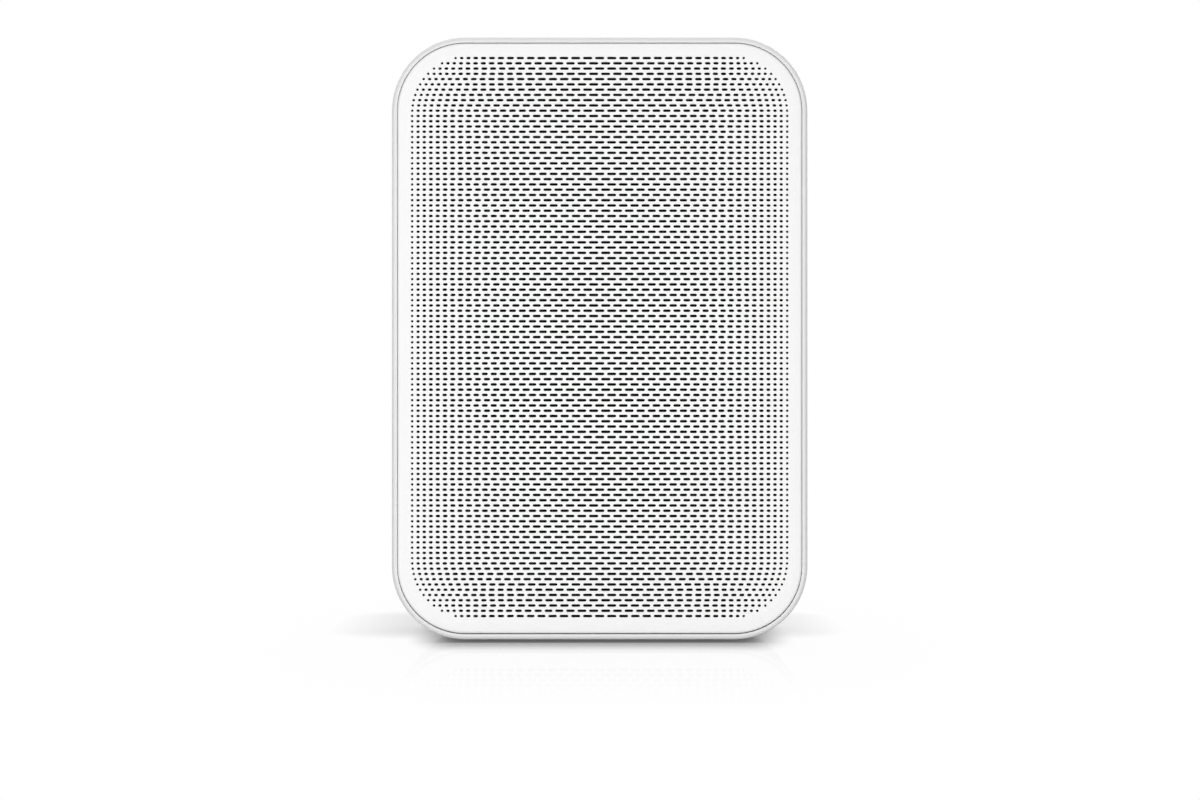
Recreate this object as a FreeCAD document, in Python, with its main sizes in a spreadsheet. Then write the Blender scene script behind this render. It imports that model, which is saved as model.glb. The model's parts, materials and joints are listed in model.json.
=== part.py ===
import FreeCAD, Part
import math
import operator
import os
import types

import Sketcher

# A compact wireless streaming speaker: a moulded sleeve closed by a baffle with two drive units behind
# a slotted steel grille, and by a rear cover that carries the electronics.
# Bodies are drawn looking at the front: x to the right, y up from the floor, z towards the viewer,
# counted from half the cabinet's depth. Level planes are the XZ plane, seen from below. Turned pieces are
# drawn about their own axis.

# Driving sizes in millimetres
SIZES = {
    "cabinet_width": 125.0,
    "cabinet_height": 181.0,
    "cabinet_depth": 90.0,
    "cabinet_corner": 22.0,
    "cabinet_wall": 3.0,
    "rim_width": 1.6,
    "rim_edge": 1.0,
    "fit_gap": 0.2,
    "glue_gap": 0.1,
    "seal_thickness": 0.8,
    "post_radius": 4.5,
    "post_merge": 1.5,
    "screw_radius": 1.4,
    "screw_length": 10.0,
    "screw_head_radius": 2.6,
    "screw_head_height": 1.8,
    "thread_gap": 0.1,
    "shank_gap": 0.4,
    "foot_radius": 7.0,
    "foot_height": 1.0,
    "foot_seat": 1.0,
    "foot_taper": 0.3,
    "foot_edge": 1.0,
    "foot_inset": 24.0,
    "grille_gap": 0.3,
    "grille_proud": 0.3,
    "grille_sheet": 1.0,
    "grille_depth": 7.0,
    "cloth_thickness": 0.4,
    "slot_margin": 4.2,
    "slot_row_pitch": 4.75,
    "slot_height": 1.75,
    "slot_bridge": 3.1,
    "slot_centre_pitch": 11.0,
    "slot_end_pitch": 5.2,
    "baffle_thickness": 4.0,
    "woofer_side_gap": 5.3,
    "woofer_flange": 2.5,
    "woofer_sink": 3.0,
    "woofer_ring": 3.0,
    "woofer_floor": 3.0,
    "woofer_clearance": 2.0,
    "flange_width": 7.5,
    "basket_clearance": 1.0,
    "basket_slope": 7.5,
    "basket_wall": 2.0,
    "motor_clearance": 5.5,
    "neck_depth": 10.0,
    "shelf_width": 5.0,
    "gasket_thickness": 1.0,
    "roll_radius": 3.6,
    "roll_sheet": 0.7,
    "roll_land": 2.6,
    "cone_sheet": 0.9,
    "cone_clearance": 1.0,
    "cap_radius": 16.0,
    "cap_rise": 4.5,
    "cap_sheet": 0.8,
    "former_radius": 12.6,
    "former_wall": 0.3,
    "winding_thickness": 0.5,
    "winding_length": 8.0,
    "air_gap": 0.4,
    "spider_sheet": 0.6,
    "spider_wave": 1.2,
    "top_plate_thickness": 4.5,
    "magnet_radius": 36.0,
    "magnet_bore": 19.0,
    "magnet_thickness": 10.0,
    "yoke_radius": 34.0,
    "yoke_thickness": 4.0,
    "yoke_vent": 3.0,
    "driver_spacing": 3.0,
    "tweeter_top_gap": 11.6,
    "tweeter_flange": 3.0,
    "collar_depth": 2.0,
    "dome_rise": 3.2,
    "dome_sheet": 0.3,
    "dome_coil_wall": 0.25,
    "dome_winding": 0.25,
    "dome_coil_length": 4.0,
    "dome_air_gap": 0.35,
    "dome_plate": 2.0,
    "dome_plate_sink": 1.6,
    "dome_magnet": 4.0,
    "dome_magnet_inset": 0.7,
    "cup_land": 2.1,
    "cup_floor": 2.5,
    "cover_thickness": 3.0,
    "head_sink": 2.0,
    "port_radius": 11.0,
    "port_wall": 2.0,
    "port_length": 40.0,
    "port_flare": 6.0,
    "port_lip": 2.0,
    "port_below_top": 33.0,
    "bay_width": 96.0,
    "bay_height": 26.0,
    "bay_depth": 14.0,
    "bay_wall": 2.0,
    "bay_corner": 5.0,
    "bay_above_base": 22.0,
    "insert_radius": 4.1,
    "insert_bore": 2.6,
    "insert_length": 9.0,
    "boss_wall": 2.4,
    "insert_below_port": 45.0,
    "board_thickness": 1.6,
    "board_edge_gap": 5.5,
    "board_below_port": 9.0,
    "board_spacing": 20.0,
    "board_above_bay": 6.0,
    "standoff_radius": 3.0,
    "standoff_height": 10.0,
    "standoff_inset": 4.0,
    "component_gap": 5.0,
    "sink_width": 30.0,
    "board_top_gap": 4.8,
    "sink_base": 2.0,
    "fin_depth": 9.0,
    "fin_thickness": 2.6,
    "inductor_radius": 3.6,
    "inductor_depth": 6.0,
    "inductor_spacing": 9.0,
    "capacitor_radius": 5.0,
    "capacitor_depth": 13.0,
    "capacitor_spacing": 12.0,
    "module_width": 20.0,
    "module_height": 14.0,
    "module_depth": 2.4,
    "transformer_width": 22.0,
    "transformer_height": 20.0,
    "transformer_depth": 14.0,
    "panel_edge": 3.5,
    "panel_depth": 26.0,
    "panel_side": 6.0,
    "panel_thickness": 1.5,
    "pipe_radius": 1.5,
    "pipe_inset": 4.0,
    "foam_thickness": 8.0,
    "foam_height": 70.0,
    "foam_depth": 32.0,
    "antenna_thickness": 0.4,
    "antenna_length": 28.0,
    "antenna_width": 8.0,
    "antenna_from_rear": 28.0,
    "inlet_width": 22.0,
    "inlet_height": 12.5,
    "inlet_depth": 14.0,
    "inlet_flange": 2.0,
    "inlet_cavity_width": 17.4,
    "inlet_cavity_height": 8.8,
    "inlet_cavity_depth": 12.5,
    "pin_radius": 1.2,
    "pin_spacing": 8.6,
    "pin_sink": 2.0,
    "pin_tag": 2.5,
    "network_width": 16.0,
    "network_height": 13.5,
    "network_depth": 16.0,
    "network_wall": 1.9,
    "network_latch": 6.0,
    "usb_width": 14.5,
    "usb_height": 7.0,
    "usb_depth": 14.0,
    "usb_wall": 0.7,
    "usb_tongue": 2.0,
    "audio_width": 12.0,
    "audio_height": 11.0,
    "audio_depth": 13.0,
    "audio_bore": 1.8,
    "socket_cavity": 12.0,
    "socket_spacing": 5.0,
    "socket_side": 8.0,
}

# Shares of the tweeter's radius
DOME_SHARE = 0.4
THROAT_SHARE = 0.516
COLLAR_SHARE = 0.64
MOUTH_SHARE = 0.72

SCREW_PLACES = 4
TWEETER_SCREW_PLACES = 3
BASKET_WINDOWS = 6
WINDOW_HALF_ANGLE = math.radians(21)
SPIDER_WAVES = 5
HEAT_SINK_FINS = 6
INDUCTORS = 4
CAPACITORS = 3
DIAGONAL = math.sqrt(0.5)
FORWARD = FreeCAD.Rotation(FreeCAD.Vector(1, 0, 0), 90)
UP = FreeCAD.Vector(0, 0, 1)

doc = FreeCAD.newDocument("StreamingSpeaker")


class Size:
    """A cell of the sheet, or a formula of cells: its expression and its present value."""

    signs = {"+": operator.add, "-": operator.sub, "*": operator.mul, "/": operator.truediv}

    def __init__(self, text, value):
        self.text = text
        self.value = value

    @classmethod
    def of(cls, item):
        return item if isinstance(item, Size) else cls(repr(float(item)), float(item))

    @classmethod
    def joined(cls, left, sign, right):
        left = cls.of(left)
        right = cls.of(right)
        return cls(f"({left.text} {sign} {right.text})", cls.signs[sign](left.value, right.value))

    def __add__(self, other):
        return Size.joined(self, "+", other)

    def __radd__(self, other):
        return Size.joined(other, "+", self)

    def __sub__(self, other):
        return Size.joined(self, "-", other)

    def __rsub__(self, other):
        return Size.joined(other, "-", self)

    def __mul__(self, other):
        return Size.joined(self, "*", other)

    def __rmul__(self, other):
        return Size.joined(other, "*", self)

    def __truediv__(self, other):
        return Size.joined(self, "/", other)

    def __neg__(self):
        return Size.joined(0.0, "-", self)


def root(size):
    """The square root of a formula."""
    return Size(f"sqrt({size.text})", math.sqrt(size.value))


def make_sheet(sizes):
    """Write the driving sizes to a sheet and return them as formulas by name."""
    sheet = doc.addObject("Spreadsheet::Sheet", "Sizes")
    for row, (name, value) in enumerate(sizes.items(), start=1):
        sheet.set(f"A{row}", name)
        sheet.set(f"B{row}", str(value))
        sheet.setAlias(f"B{row}", name)
    doc.recompute()
    return types.SimpleNamespace(**{name: Size(f"Sizes.{name}", value) for name, value in sizes.items()})


S = make_sheet(SIZES)

# Planes and places that several pieces share
half_width = S.cabinet_width / 2
bottom = S.foot_height
top = bottom + S.cabinet_height
middle = bottom + S.cabinet_height / 2
front = S.cabinet_depth / 2
rear = -front
rim_front = front - S.grille_proud
baffle_front = front - S.grille_depth
baffle_back = baffle_front - S.baffle_thickness
front_ledge = baffle_back - S.seal_thickness
cover_front = rear + S.cover_thickness
rear_ledge = cover_front + S.seal_thickness
inner_side = half_width - S.cabinet_wall
inner_top = top - S.cabinet_wall

post_reach = (S.cabinet_corner - S.cabinet_wall - S.post_radius + S.post_merge) * DIAGONAL
post_x = half_width - S.cabinet_corner + post_reach
post_low = bottom + S.cabinet_corner - post_reach
post_high = top - S.cabinet_corner + post_reach
post_places = [(side * post_x, y) for side in (-1, 1) for y in (post_low, post_high)]
pilot_radius = S.screw_radius + S.thread_gap
shank_hole = S.screw_radius + S.shank_gap

woofer_front = baffle_front - S.woofer_sink
woofer_seat = woofer_front - S.woofer_flange - S.gasket_thickness
woofer_back = woofer_seat - S.woofer_floor
ring_radius = inner_side - S.woofer_side_gap
woofer_radius = ring_radius - S.woofer_ring - S.fit_gap
woofer_height = bottom + S.cabinet_wall + S.woofer_clearance + ring_radius
basket_radius = woofer_radius - S.flange_width
basket_opening = basket_radius + S.basket_clearance
land_outer = basket_radius - S.basket_wall + S.roll_land
woofer_screw_circle = (land_outer + woofer_radius) / 2
tweeter_low = woofer_height + ring_radius + S.driver_spacing
tweeter_radius = (inner_top - S.tweeter_top_gap - tweeter_low) / 2
tweeter_height = tweeter_low + tweeter_radius
dome_radius = DOME_SHARE * tweeter_radius
throat_radius = THROAT_SHARE * tweeter_radius
collar_radius = COLLAR_SHARE * tweeter_radius
mouth_radius = MOUTH_SHARE * tweeter_radius
tweeter_screw_circle = (mouth_radius + tweeter_radius) / 2

port_height = top - S.port_below_top
insert_height = port_height - S.insert_below_port
bay_low = bottom + S.bay_above_base
bay_middle = bay_low + S.bay_height / 2
bay_floor = rear + S.bay_depth
bay_inside = bay_floor + S.bay_wall
board_low = bay_low + S.bay_height + S.bay_wall + S.board_above_bay
board_height = port_height - S.port_radius - S.port_wall - S.board_below_port - board_low
board_back = cover_front + S.standoff_height
board_front = board_back + S.board_thickness
board_width = inner_side - S.board_edge_gap - S.board_spacing / 2
board_x = (S.board_spacing + board_width) / 2
panel_width = S.cabinet_width - 2 * (S.cabinet_corner + S.panel_edge)
panel_corner = (S.panel_depth - S.panel_side) / 2
foot_x = half_width - S.cabinet_corner - S.foot_radius - S.foot_edge
foot_z = front - S.foot_inset


def bind(item, **formulas):
    """Tie properties of an object to formulas of the sheet."""
    for name, formula in formulas.items():
        item.setExpression(name, Size.of(formula).text)


def place(item, x=0.0, height=0.0, forward=0.0, rotation=FORWARD):
    """Put an object's origin at a place given as x, height above the floor and distance forward."""
    spots = {"x": Size.of(x), "y": -Size.of(forward), "z": Size.of(height)}
    base = FreeCAD.Vector(*[spot.value for spot in spots.values()])
    item.Placement = FreeCAD.Placement(base, rotation)
    for axis, spot in spots.items():
        item.setExpression(f"Placement.Base.{axis}", spot.text)


class Arc:
    """A bend between two points of an outline, about a centre."""

    def __init__(self, x, y, clockwise=False):
        self.x = Size.of(x)
        self.y = Size.of(y)
        self.clockwise = clockwise

    def curve(self, start, end):
        """The arc from one point of the outline to the next, which geometry always runs anticlockwise."""
        centre = FreeCAD.Vector(self.x.value, self.y.value, 0)
        first = math.atan2(start.y - centre.y, start.x - centre.x)
        last = math.atan2(end.y - centre.y, end.x - centre.x)
        if self.clockwise:
            first, last = last, first
        if last <= first:
            last += 2 * math.pi
        circle = Part.Circle(centre, UP, (start - centre).Length)
        return Part.ArcOfCircle(circle, first, last)


class Drawing:
    """A sketch on one of a body's origin planes, with every point held by formulas."""

    def __init__(self, body, name, role="XY_Plane", offset=0.0):
        plane = next(item for item in body.Origin.OriginFeatures if item.Role == role)
        self.sketch = body.newObject("Sketcher::SketchObject", name)
        self.sketch.AttachmentSupport = [(plane, "")]
        self.sketch.MapMode = "FlatFace"
        self.sketch.setExpression("AttachmentOffset.Base.z", Size.of(offset).text)

    def constrain(self, formula, kind, *where):
        index = self.sketch.addConstraint(Sketcher.Constraint(kind, *where, formula.value))
        self.sketch.setExpression(f"Constraints[{index}]", formula.text)

    def hold(self, geometry, point, x=None, y=None):
        """Fix a point of the sketch at formulas counted from the origin."""
        if x is not None:
            self.constrain(Size.of(x), "DistanceX", -1, 1, geometry, point)
        if y is not None:
            self.constrain(Size.of(y), "DistanceY", -1, 1, geometry, point)

    def circle(self, radius, x=0.0, y=0.0):
        radius = Size.of(radius)
        centre = FreeCAD.Vector(Size.of(x).value, Size.of(y).value, 0)
        index = self.sketch.addGeometry(Part.Circle(centre, UP, radius.value))
        self.hold(index, 3, x, y)
        self.constrain(radius, "Radius", index)
        return self

    def outline(self, *steps):
        """A closed line through points, each an x and y pair, with an Arc wherever a side is bent."""
        points = []
        bends = {}
        for step in steps:
            if isinstance(step, Arc):
                bends[len(points) - 1] = step
            else:
                points.append((Size.of(step[0]), Size.of(step[1])))
        corners = [FreeCAD.Vector(x.value, y.value, 0) for x, y in points]
        sides = []
        for number, start in enumerate(corners):
            end = corners[(number + 1) % len(corners)]
            bend = bends.get(number)
            curve = bend.curve(start, end) if bend else Part.LineSegment(start, end)
            ends = (2, 1) if bend and bend.clockwise else (1, 2)
            index = self.sketch.addGeometry(curve)
            sides.append((index, *ends))
            if bend and abs(end.x - start.x) > abs(end.y - start.y):
                self.hold(index, 3, y=bend.y)
            elif bend:
                self.hold(index, 3, x=bend.x)
        for number, (index, start, _) in enumerate(sides):
            before, _, finish = sides[number - 1]
            self.sketch.addConstraint(Sketcher.Constraint("Coincident", before, finish, index, start))
            self.hold(index, start, *points[number])
        return self

    def rectangle(self, width, height, corner=None, x=0.0, y=0.0):
        """A rectangle about a centre, with round corners where a radius is given."""
        left, right = x - width / 2, x + width / 2
        low, high = y - height / 2, y + height / 2
        if corner is None:
            return self.outline((left, low), (right, low), (right, high), (left, high))
        return self.outline(
            (left + corner, low), (right - corner, low), Arc(right - corner, low + corner),
            (right, low + corner), (right, high - corner), Arc(right - corner, high - corner),
            (right - corner, high), (left + corner, high), Arc(left + corner, high - corner),
            (left, high - corner), (left, low + corner), Arc(left + corner, low + corner),
        )

    def cabinet_outline(self, inset=0.0):
        """The cabinet's front view, drawn a distance inside its outer edge."""
        return self.rectangle(
            S.cabinet_width - 2 * Size.of(inset), S.cabinet_height - 2 * Size.of(inset),
            S.cabinet_corner - inset, 0.0, middle,
        )

    def circles(self, radius, places):
        for x, y in places:
            self.circle(radius, x, y)
        return self


def make_body(label):
    body = doc.addObject("PartDesign::Body", label)
    body.Label = label
    return body


def add(body, kind, drawing, length, name):
    feature = body.newObject(f"PartDesign::{kind}", name)
    feature.Profile = drawing.sketch
    bind(feature, Length=length)
    return feature


def pad(body, drawing, length):
    """Grow a drawing towards the viewer, or downwards from a level plane."""
    return add(body, "Pad", drawing, length, "Pad")


def pocket(body, drawing, length):
    """Cut a drawing away from the viewer, or upwards from a level plane."""
    return add(body, "Pocket", drawing, length, "Pocket")


def repeat(body, feature, drawing, count):
    """Repeat a feature evenly round the axis of its drawing."""
    pattern = body.newObject("PartDesign::PolarPattern", "Round")
    pattern.Originals = [feature]
    pattern.Axis = (drawing.sketch, ["N_Axis"])
    pattern.Angle = 360
    pattern.Occurrences = count
    body.Tip = pattern
    return pattern


def turned(label, *steps):
    """A body turned about its own axis from a profile of radius and distance forward."""
    body = make_body(label)
    profile = Drawing(body, f"{label}_profile", "XZ_Plane").outline(*steps)
    turn = body.newObject("PartDesign::Revolution", "Turn")
    turn.Profile = profile.sketch
    turn.ReferenceAxis = (profile.sketch, ["V_Axis"])
    turn.Angle = 360
    return body


def block(label, width, height, depth, x, low, back):
    """A plain block given by its middle in x, its lowest height and its rear plane."""
    body = make_body(label)
    face = Drawing(body, f"{label}_face", offset=back).rectangle(width, height, None, x, low + height / 2)
    pad(body, face, depth)
    place(body)
    return body


def rod(name, radius, length, x, height, back):
    """A cylinder that points forward from a rear plane."""
    cylinder = doc.addObject("Part::Cylinder", name)
    bind(cylinder, Radius=radius, Height=length)
    place(cylinder, x, height, back)
    return cylinder


def group(label, items):
    """Separate solids that share one node."""
    compound = doc.addObject("Part::Compound", label)
    compound.Label = label
    compound.Links = items
    return compound


def screws(label, places, seat, length, forward=True):
    """Pan-head screws whose heads bear on a plane, entered from the front or from the rear."""
    items = []
    for x, height in places:
        head_back = seat if forward else seat - S.screw_head_height
        shank_back = seat - length if forward else seat
        head = rod(f"{label}_head", S.screw_head_radius, S.screw_head_height, x, height, head_back)
        shank = rod(f"{label}_shank", S.screw_radius, length, x, height, shank_back)
        screw = doc.addObject("Part::Fuse", f"{label}_one")
        screw.Base = head
        screw.Tool = shank
        items.append(screw)
    return group(label, items)


def ring_places(count, radius, height, turn=0.0):
    """Places spread evenly round a centre on the middle line."""
    angles = [turn + 2 * math.pi * number / count for number in range(count)]
    return [(radius * math.cos(angle), height + radius * math.sin(angle)) for angle in angles]


# Cabinet and what closes it
def make_cabinet():
    body = make_body("cabinet")
    sleeve = pad(body, Drawing(body, "sleeve", offset=rear).cabinet_outline(), rim_front - rear)
    doc.recompute()
    ends = (rear.value, rim_front.value)
    edges = []
    for number, edge in enumerate(sleeve.Shape.Edges, start=1):
        box = edge.BoundBox
        if box.ZLength < 1e-6 and any(abs(box.ZMin - end) < 1e-6 for end in ends):
            edges.append(f"Edge{number}")
    rounding = body.newObject("PartDesign::Fillet", "RimEdge")
    rounding.Base = (sleeve, edges)
    bind(rounding, Radius=S.rim_edge)
    hollow = Drawing(body, "hollow", offset=rim_front).cabinet_outline(S.cabinet_wall)
    pocket(body, hollow, rim_front - rear)
    rebate = Drawing(body, "front_rebate", offset=rim_front).cabinet_outline(S.rim_width)
    pocket(body, rebate, rim_front - front_ledge)
    rebate = Drawing(body, "rear_rebate", offset=rear_ledge).cabinet_outline(S.rim_width)
    pocket(body, rebate, rear_ledge - rear)
    posts = Drawing(body, "posts", offset=rear_ledge).circles(S.post_radius, post_places)
    pad(body, posts, front_ledge - rear_ledge)
    front_pilots = Drawing(body, "front_pilots", offset=front_ledge).circles(pilot_radius, post_places)
    pocket(body, front_pilots, S.screw_length)
    rear_pilots = Drawing(body, "rear_pilots", offset=rear_ledge + S.screw_length)
    pocket(body, rear_pilots.circles(pilot_radius, post_places), S.screw_length)
    recess = Drawing(body, "panel_recess", "XZ_Plane", S.panel_thickness - top)
    recess.rectangle(
        panel_width + 2 * S.fit_gap, S.panel_depth + 2 * S.fit_gap, panel_corner + S.fit_gap,
    )
    pocket(body, recess, S.panel_thickness)
    pipe = Drawing(body, "pipe_hole", "XZ_Plane", -inner_top)
    pipe.circle(S.pipe_radius + S.fit_gap, 0.0, S.panel_depth / 2 - S.pipe_inset)
    pocket(body, pipe, S.cabinet_wall - S.panel_thickness)
    seats = Drawing(body, "foot_seats", "XZ_Plane", -bottom)
    seats.circles(S.foot_radius + S.fit_gap, [(i * foot_x, j * foot_z) for i in (-1, 1) for j in (-1, 1)])
    pocket(body, seats, S.foot_seat)
    place(body)
    return body


def make_baffle():
    body = make_body("front_baffle")
    plate = Drawing(body, "plate", offset=baffle_back).cabinet_outline(S.rim_width + S.fit_gap)
    pad(body, plate, S.baffle_thickness)
    ring = Drawing(body, "woofer_ring", offset=woofer_back)
    pad(body, ring.circle(ring_radius, 0.0, woofer_height), baffle_back - woofer_back)
    recess = Drawing(body, "woofer_recess", offset=baffle_front)
    pocket(body, recess.circle(woofer_radius + S.fit_gap, 0.0, woofer_height), baffle_front - woofer_seat)
    opening = Drawing(body, "woofer_opening", offset=woofer_seat)
    pocket(body, opening.circle(basket_opening, 0.0, woofer_height), S.woofer_floor)
    pilots = Drawing(body, "woofer_pilots", offset=woofer_seat)
    pocket(body, pilots.circles(pilot_radius, woofer_screw_places), S.woofer_floor)
    recess = Drawing(body, "tweeter_recess", offset=baffle_front)
    pocket(body, recess.circle(tweeter_radius + S.fit_gap, 0.0, tweeter_height), S.tweeter_flange)
    opening = Drawing(body, "tweeter_opening", offset=baffle_front)
    opening.circle(collar_radius + S.fit_gap, 0.0, tweeter_height)
    pocket(body, opening, S.baffle_thickness)
    pilots = Drawing(body, "tweeter_pilots", offset=baffle_front)
    pocket(body, pilots.circles(pilot_radius, tweeter_screw_places), S.baffle_thickness)
    corners = Drawing(body, "corner_holes", offset=baffle_front)
    pocket(body, corners.circles(shank_hole, post_places), S.baffle_thickness)
    place(body)
    return body


def make_seal(label, back):
    """A thin foam ring on the cabinet's ledge."""
    body = make_body(label)
    ring = Drawing(body, f"{label}_ring", offset=back)
    ring.cabinet_outline(S.rim_width + S.fit_gap).cabinet_outline(S.cabinet_wall)
    pad(body, ring, S.seal_thickness)
    place(body)
    return body


def wire(points):
    corners = [FreeCAD.Vector(x, y, 0) for x, y in points]
    return Part.makePolygon(corners + corners[:1])


def rounded_wire(width, height, corner):
    """A rectangle with round corners about the origin."""
    box = Part.makePlane(width, height, FreeCAD.Vector(-width / 2, -height / 2, 0))
    solid = box.extrude(UP)
    uprights = [edge for edge in solid.Edges if edge.BoundBox.ZLength > 0.5]
    rounded = solid.makeFillet(corner, uprights)
    return next(face.OuterWire for face in rounded.Faces if face.BoundBox.ZMax < 1e-6)


def slot_rows():
    """Slots as x, y and length: each row is graded from long at the middle to dots at its ends.

    The pitch falls from the centre pitch to the end pitch as a power of the distance along the row,
    and that power is worked out so that the last slot of each row ends on the pattern's outline.
    """
    inset = S.rim_width.value + S.grille_gap.value + S.slot_margin.value
    half_wide = S.cabinet_width.value / 2 - inset
    half_high = S.cabinet_height.value / 2 - inset
    corner = S.cabinet_corner.value - inset
    centre_pitch = S.slot_centre_pitch.value
    fall = 1 - S.slot_end_pitch.value / centre_pitch
    pairs = int(half_high / S.slot_row_pitch.value)
    for row in range(-pairs, pairs + 1):
        y = row * S.slot_row_pitch.value
        past = max(0.0, abs(y) - (half_high - corner))
        reach = half_wide - corner + math.sqrt(max(0.0, corner**2 - past**2))
        shift = 0.5 * (row % 2)
        steps = max(2, round(reach / (centre_pitch * (1 - fall / 2)) - shift)) + shift
        power = max(0.2, fall / (1 - reach / (steps * centre_pitch)) - 1)
        stretch = reach / (1 - fall / (power + 1))
        for number in range(int(steps) + 1):
            along = (number + shift) / steps
            x = stretch * (along - fall * along ** (power + 1) / (power + 1))
            pitch = stretch / steps * (1 - fall * along**power)
            length = max(S.slot_height.value, pitch - S.slot_bridge.value)
            for side in {1, -1} if x > 0 else {1}:
                yield side * x, y, length


def make_grille():
    """A pressed tray: a slotted face with a return flange that stands on the baffle."""
    outer_inset = S.rim_width.value + S.grille_gap.value
    sheet = S.grille_sheet.value
    width = S.cabinet_width.value - 2 * outer_inset
    height = S.cabinet_height.value - 2 * outer_inset
    corner = S.cabinet_corner.value - outer_inset
    outer = rounded_wire(width, height, corner)
    inner = rounded_wire(width - 2 * sheet, height - 2 * sheet, corner - sheet)
    flange = Part.Face([outer, inner]).extrude(UP * (S.grille_depth.value - sheet))
    half = S.slot_height.value / 2
    slots = []
    for x, y, length in slot_rows():
        left, right = x - length / 2, x + length / 2
        slots.append(wire([(left, y - half), (left, y + half), (right, y + half), (right, y - half)]))
    face = Part.Face([outer] + slots).extrude(UP * sheet)
    face.translate(UP * (S.grille_depth.value - sheet))
    grille = doc.addObject("Part::Feature", "front_grille")
    grille.Label = "front_grille"
    grille.Shape = flange.fuse(face).removeSplitter()
    place(grille, 0.0, middle, baffle_front)
    return grille


def make_cloth():
    """The acoustic cloth on the back of the grille's face."""
    body = make_body("grille_cloth")
    inset = S.rim_width + S.grille_gap + S.grille_sheet + S.fit_gap
    sheet = Drawing(body, "cloth", offset=front - S.grille_sheet - S.cloth_thickness).cabinet_outline(inset)
    pad(body, sheet, S.cloth_thickness)
    place(body)
    return body


def make_feet():
    feet = []
    for i in (-1, 1):
        for j in (-1, 1):
            plug = doc.addObject("Part::Cylinder", "foot_plug")
            bind(plug, Radius=S.foot_radius, Height=S.foot_seat)
            place(plug, i * foot_x, bottom, j * foot_z, FreeCAD.Rotation())
            tread = doc.addObject("Part::Cone", "foot_tread")
            bind(tread, Radius1=S.foot_radius - S.foot_taper, Radius2=S.foot_radius, Height=S.foot_height)
            place(tread, i * foot_x, 0.0, j * foot_z, FreeCAD.Rotation())
            foot = doc.addObject("Part::Fuse", "foot")
            foot.Base = plug
            foot.Tool = tread
            feet.append(foot)
    return group("rubber_feet", feet)


def make_touch_panel():
    body = make_body("touch_panel")
    face = Drawing(body, "panel_face", "XZ_Plane", -top)
    face.rectangle(panel_width, S.panel_depth, panel_corner)
    pad(body, face, S.panel_thickness)
    place(body)
    return body


def make_touch_board():
    body = make_body("touch_board")
    face = Drawing(body, "board_face", "XZ_Plane", -inner_top)
    face.rectangle(panel_width, S.panel_depth, panel_corner)
    pad(body, face, S.board_thickness)
    place(body)
    return body


def make_light_pipe():
    pipe = doc.addObject("Part::Cylinder", "light_pipe")
    pipe.Label = "light_pipe"
    bind(pipe, Radius=S.pipe_radius, Height=S.cabinet_wall - S.panel_thickness)
    place(pipe, 0.0, inner_top, S.panel_depth / 2 - S.pipe_inset, FreeCAD.Rotation())
    return pipe


# Woofer, drawn about its axis with its flange's face at zero
woofer_screw_places = ring_places(SCREW_PLACES, woofer_screw_circle, woofer_height, math.pi / 4)
motor_depth = S.top_plate_thickness + S.magnet_thickness + S.yoke_thickness
socket_front = bay_floor + S.network_depth
basket_depth = woofer_front - socket_front - S.motor_clearance - motor_depth
shelf_depth = basket_depth - S.neck_depth
cone_depth = shelf_depth - S.cone_clearance
shelf_radius = basket_radius - S.basket_slope
neck_radius = shelf_radius - S.shelf_width
roll_centre = basket_radius - S.basket_wall - S.roll_radius + S.roll_sheet
cone_radius = roll_centre - S.roll_radius
former_outer = S.former_radius + S.former_wall
winding_outer = former_outer + S.winding_thickness
neck_inner = former_outer + S.glue_gap
coil_top = -cone_depth + S.cone_sheet
coil_end = -basket_depth - (S.top_plate_thickness + S.winding_length) / 2
plate_back = -basket_depth - S.top_plate_thickness
magnet_back = plate_back - S.magnet_thickness
pole_radius = S.former_radius - S.air_gap


def at_woofer(body):
    place(body, 0.0, woofer_height, woofer_front)
    return body


def make_woofer_frame():
    flange = -S.woofer_flange
    body = turned(
        "woofer_frame",
        (woofer_radius, 0), (basket_radius - S.basket_wall, 0),
        (shelf_radius - S.basket_wall, -shelf_depth), (neck_radius - S.basket_wall, -shelf_depth),
        (neck_radius - S.basket_wall, S.basket_wall - basket_depth),
        (winding_outer + S.basket_wall, S.basket_wall - basket_depth),
        (winding_outer + S.basket_wall, -basket_depth), (neck_radius, -basket_depth),
        (neck_radius, -shelf_depth - S.basket_wall), (shelf_radius, -shelf_depth - S.basket_wall),
        (basket_radius, flange), (woofer_radius, flange),
    )
    inner = shelf_radius + S.glue_gap
    outer = basket_radius - S.basket_wall
    across = math.cos(WINDOW_HALF_ANGLE)
    aside = math.sin(WINDOW_HALF_ANGLE)
    window = Drawing(body, "window", offset=flange)
    window.outline(
        (inner * across, -inner * aside), (outer * across, -outer * aside), Arc(0, 0),
        (outer * across, outer * aside), (inner * across, inner * aside), Arc(0, 0, clockwise=True),
    )
    opening = pocket(body, window, shelf_depth)
    repeat(body, opening, window, BASKET_WINDOWS)
    hole = Drawing(body, "flange_hole")
    hole.circle(shank_hole, woofer_screw_circle * DIAGONAL, woofer_screw_circle * DIAGONAL)
    repeat(body, pocket(body, hole, S.woofer_flange), hole, SCREW_PLACES)
    return at_woofer(body)


def make_woofer_gasket():
    body = make_body("woofer_gasket")
    ring = Drawing(body, "gasket", offset=-S.woofer_flange - S.gasket_thickness)
    ring.circle(woofer_radius).circle(basket_opening)
    ring.circles(shank_hole, ring_places(SCREW_PLACES, woofer_screw_circle, Size.of(0), math.pi / 4))
    pad(body, ring, S.gasket_thickness)
    return at_woofer(body)


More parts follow.
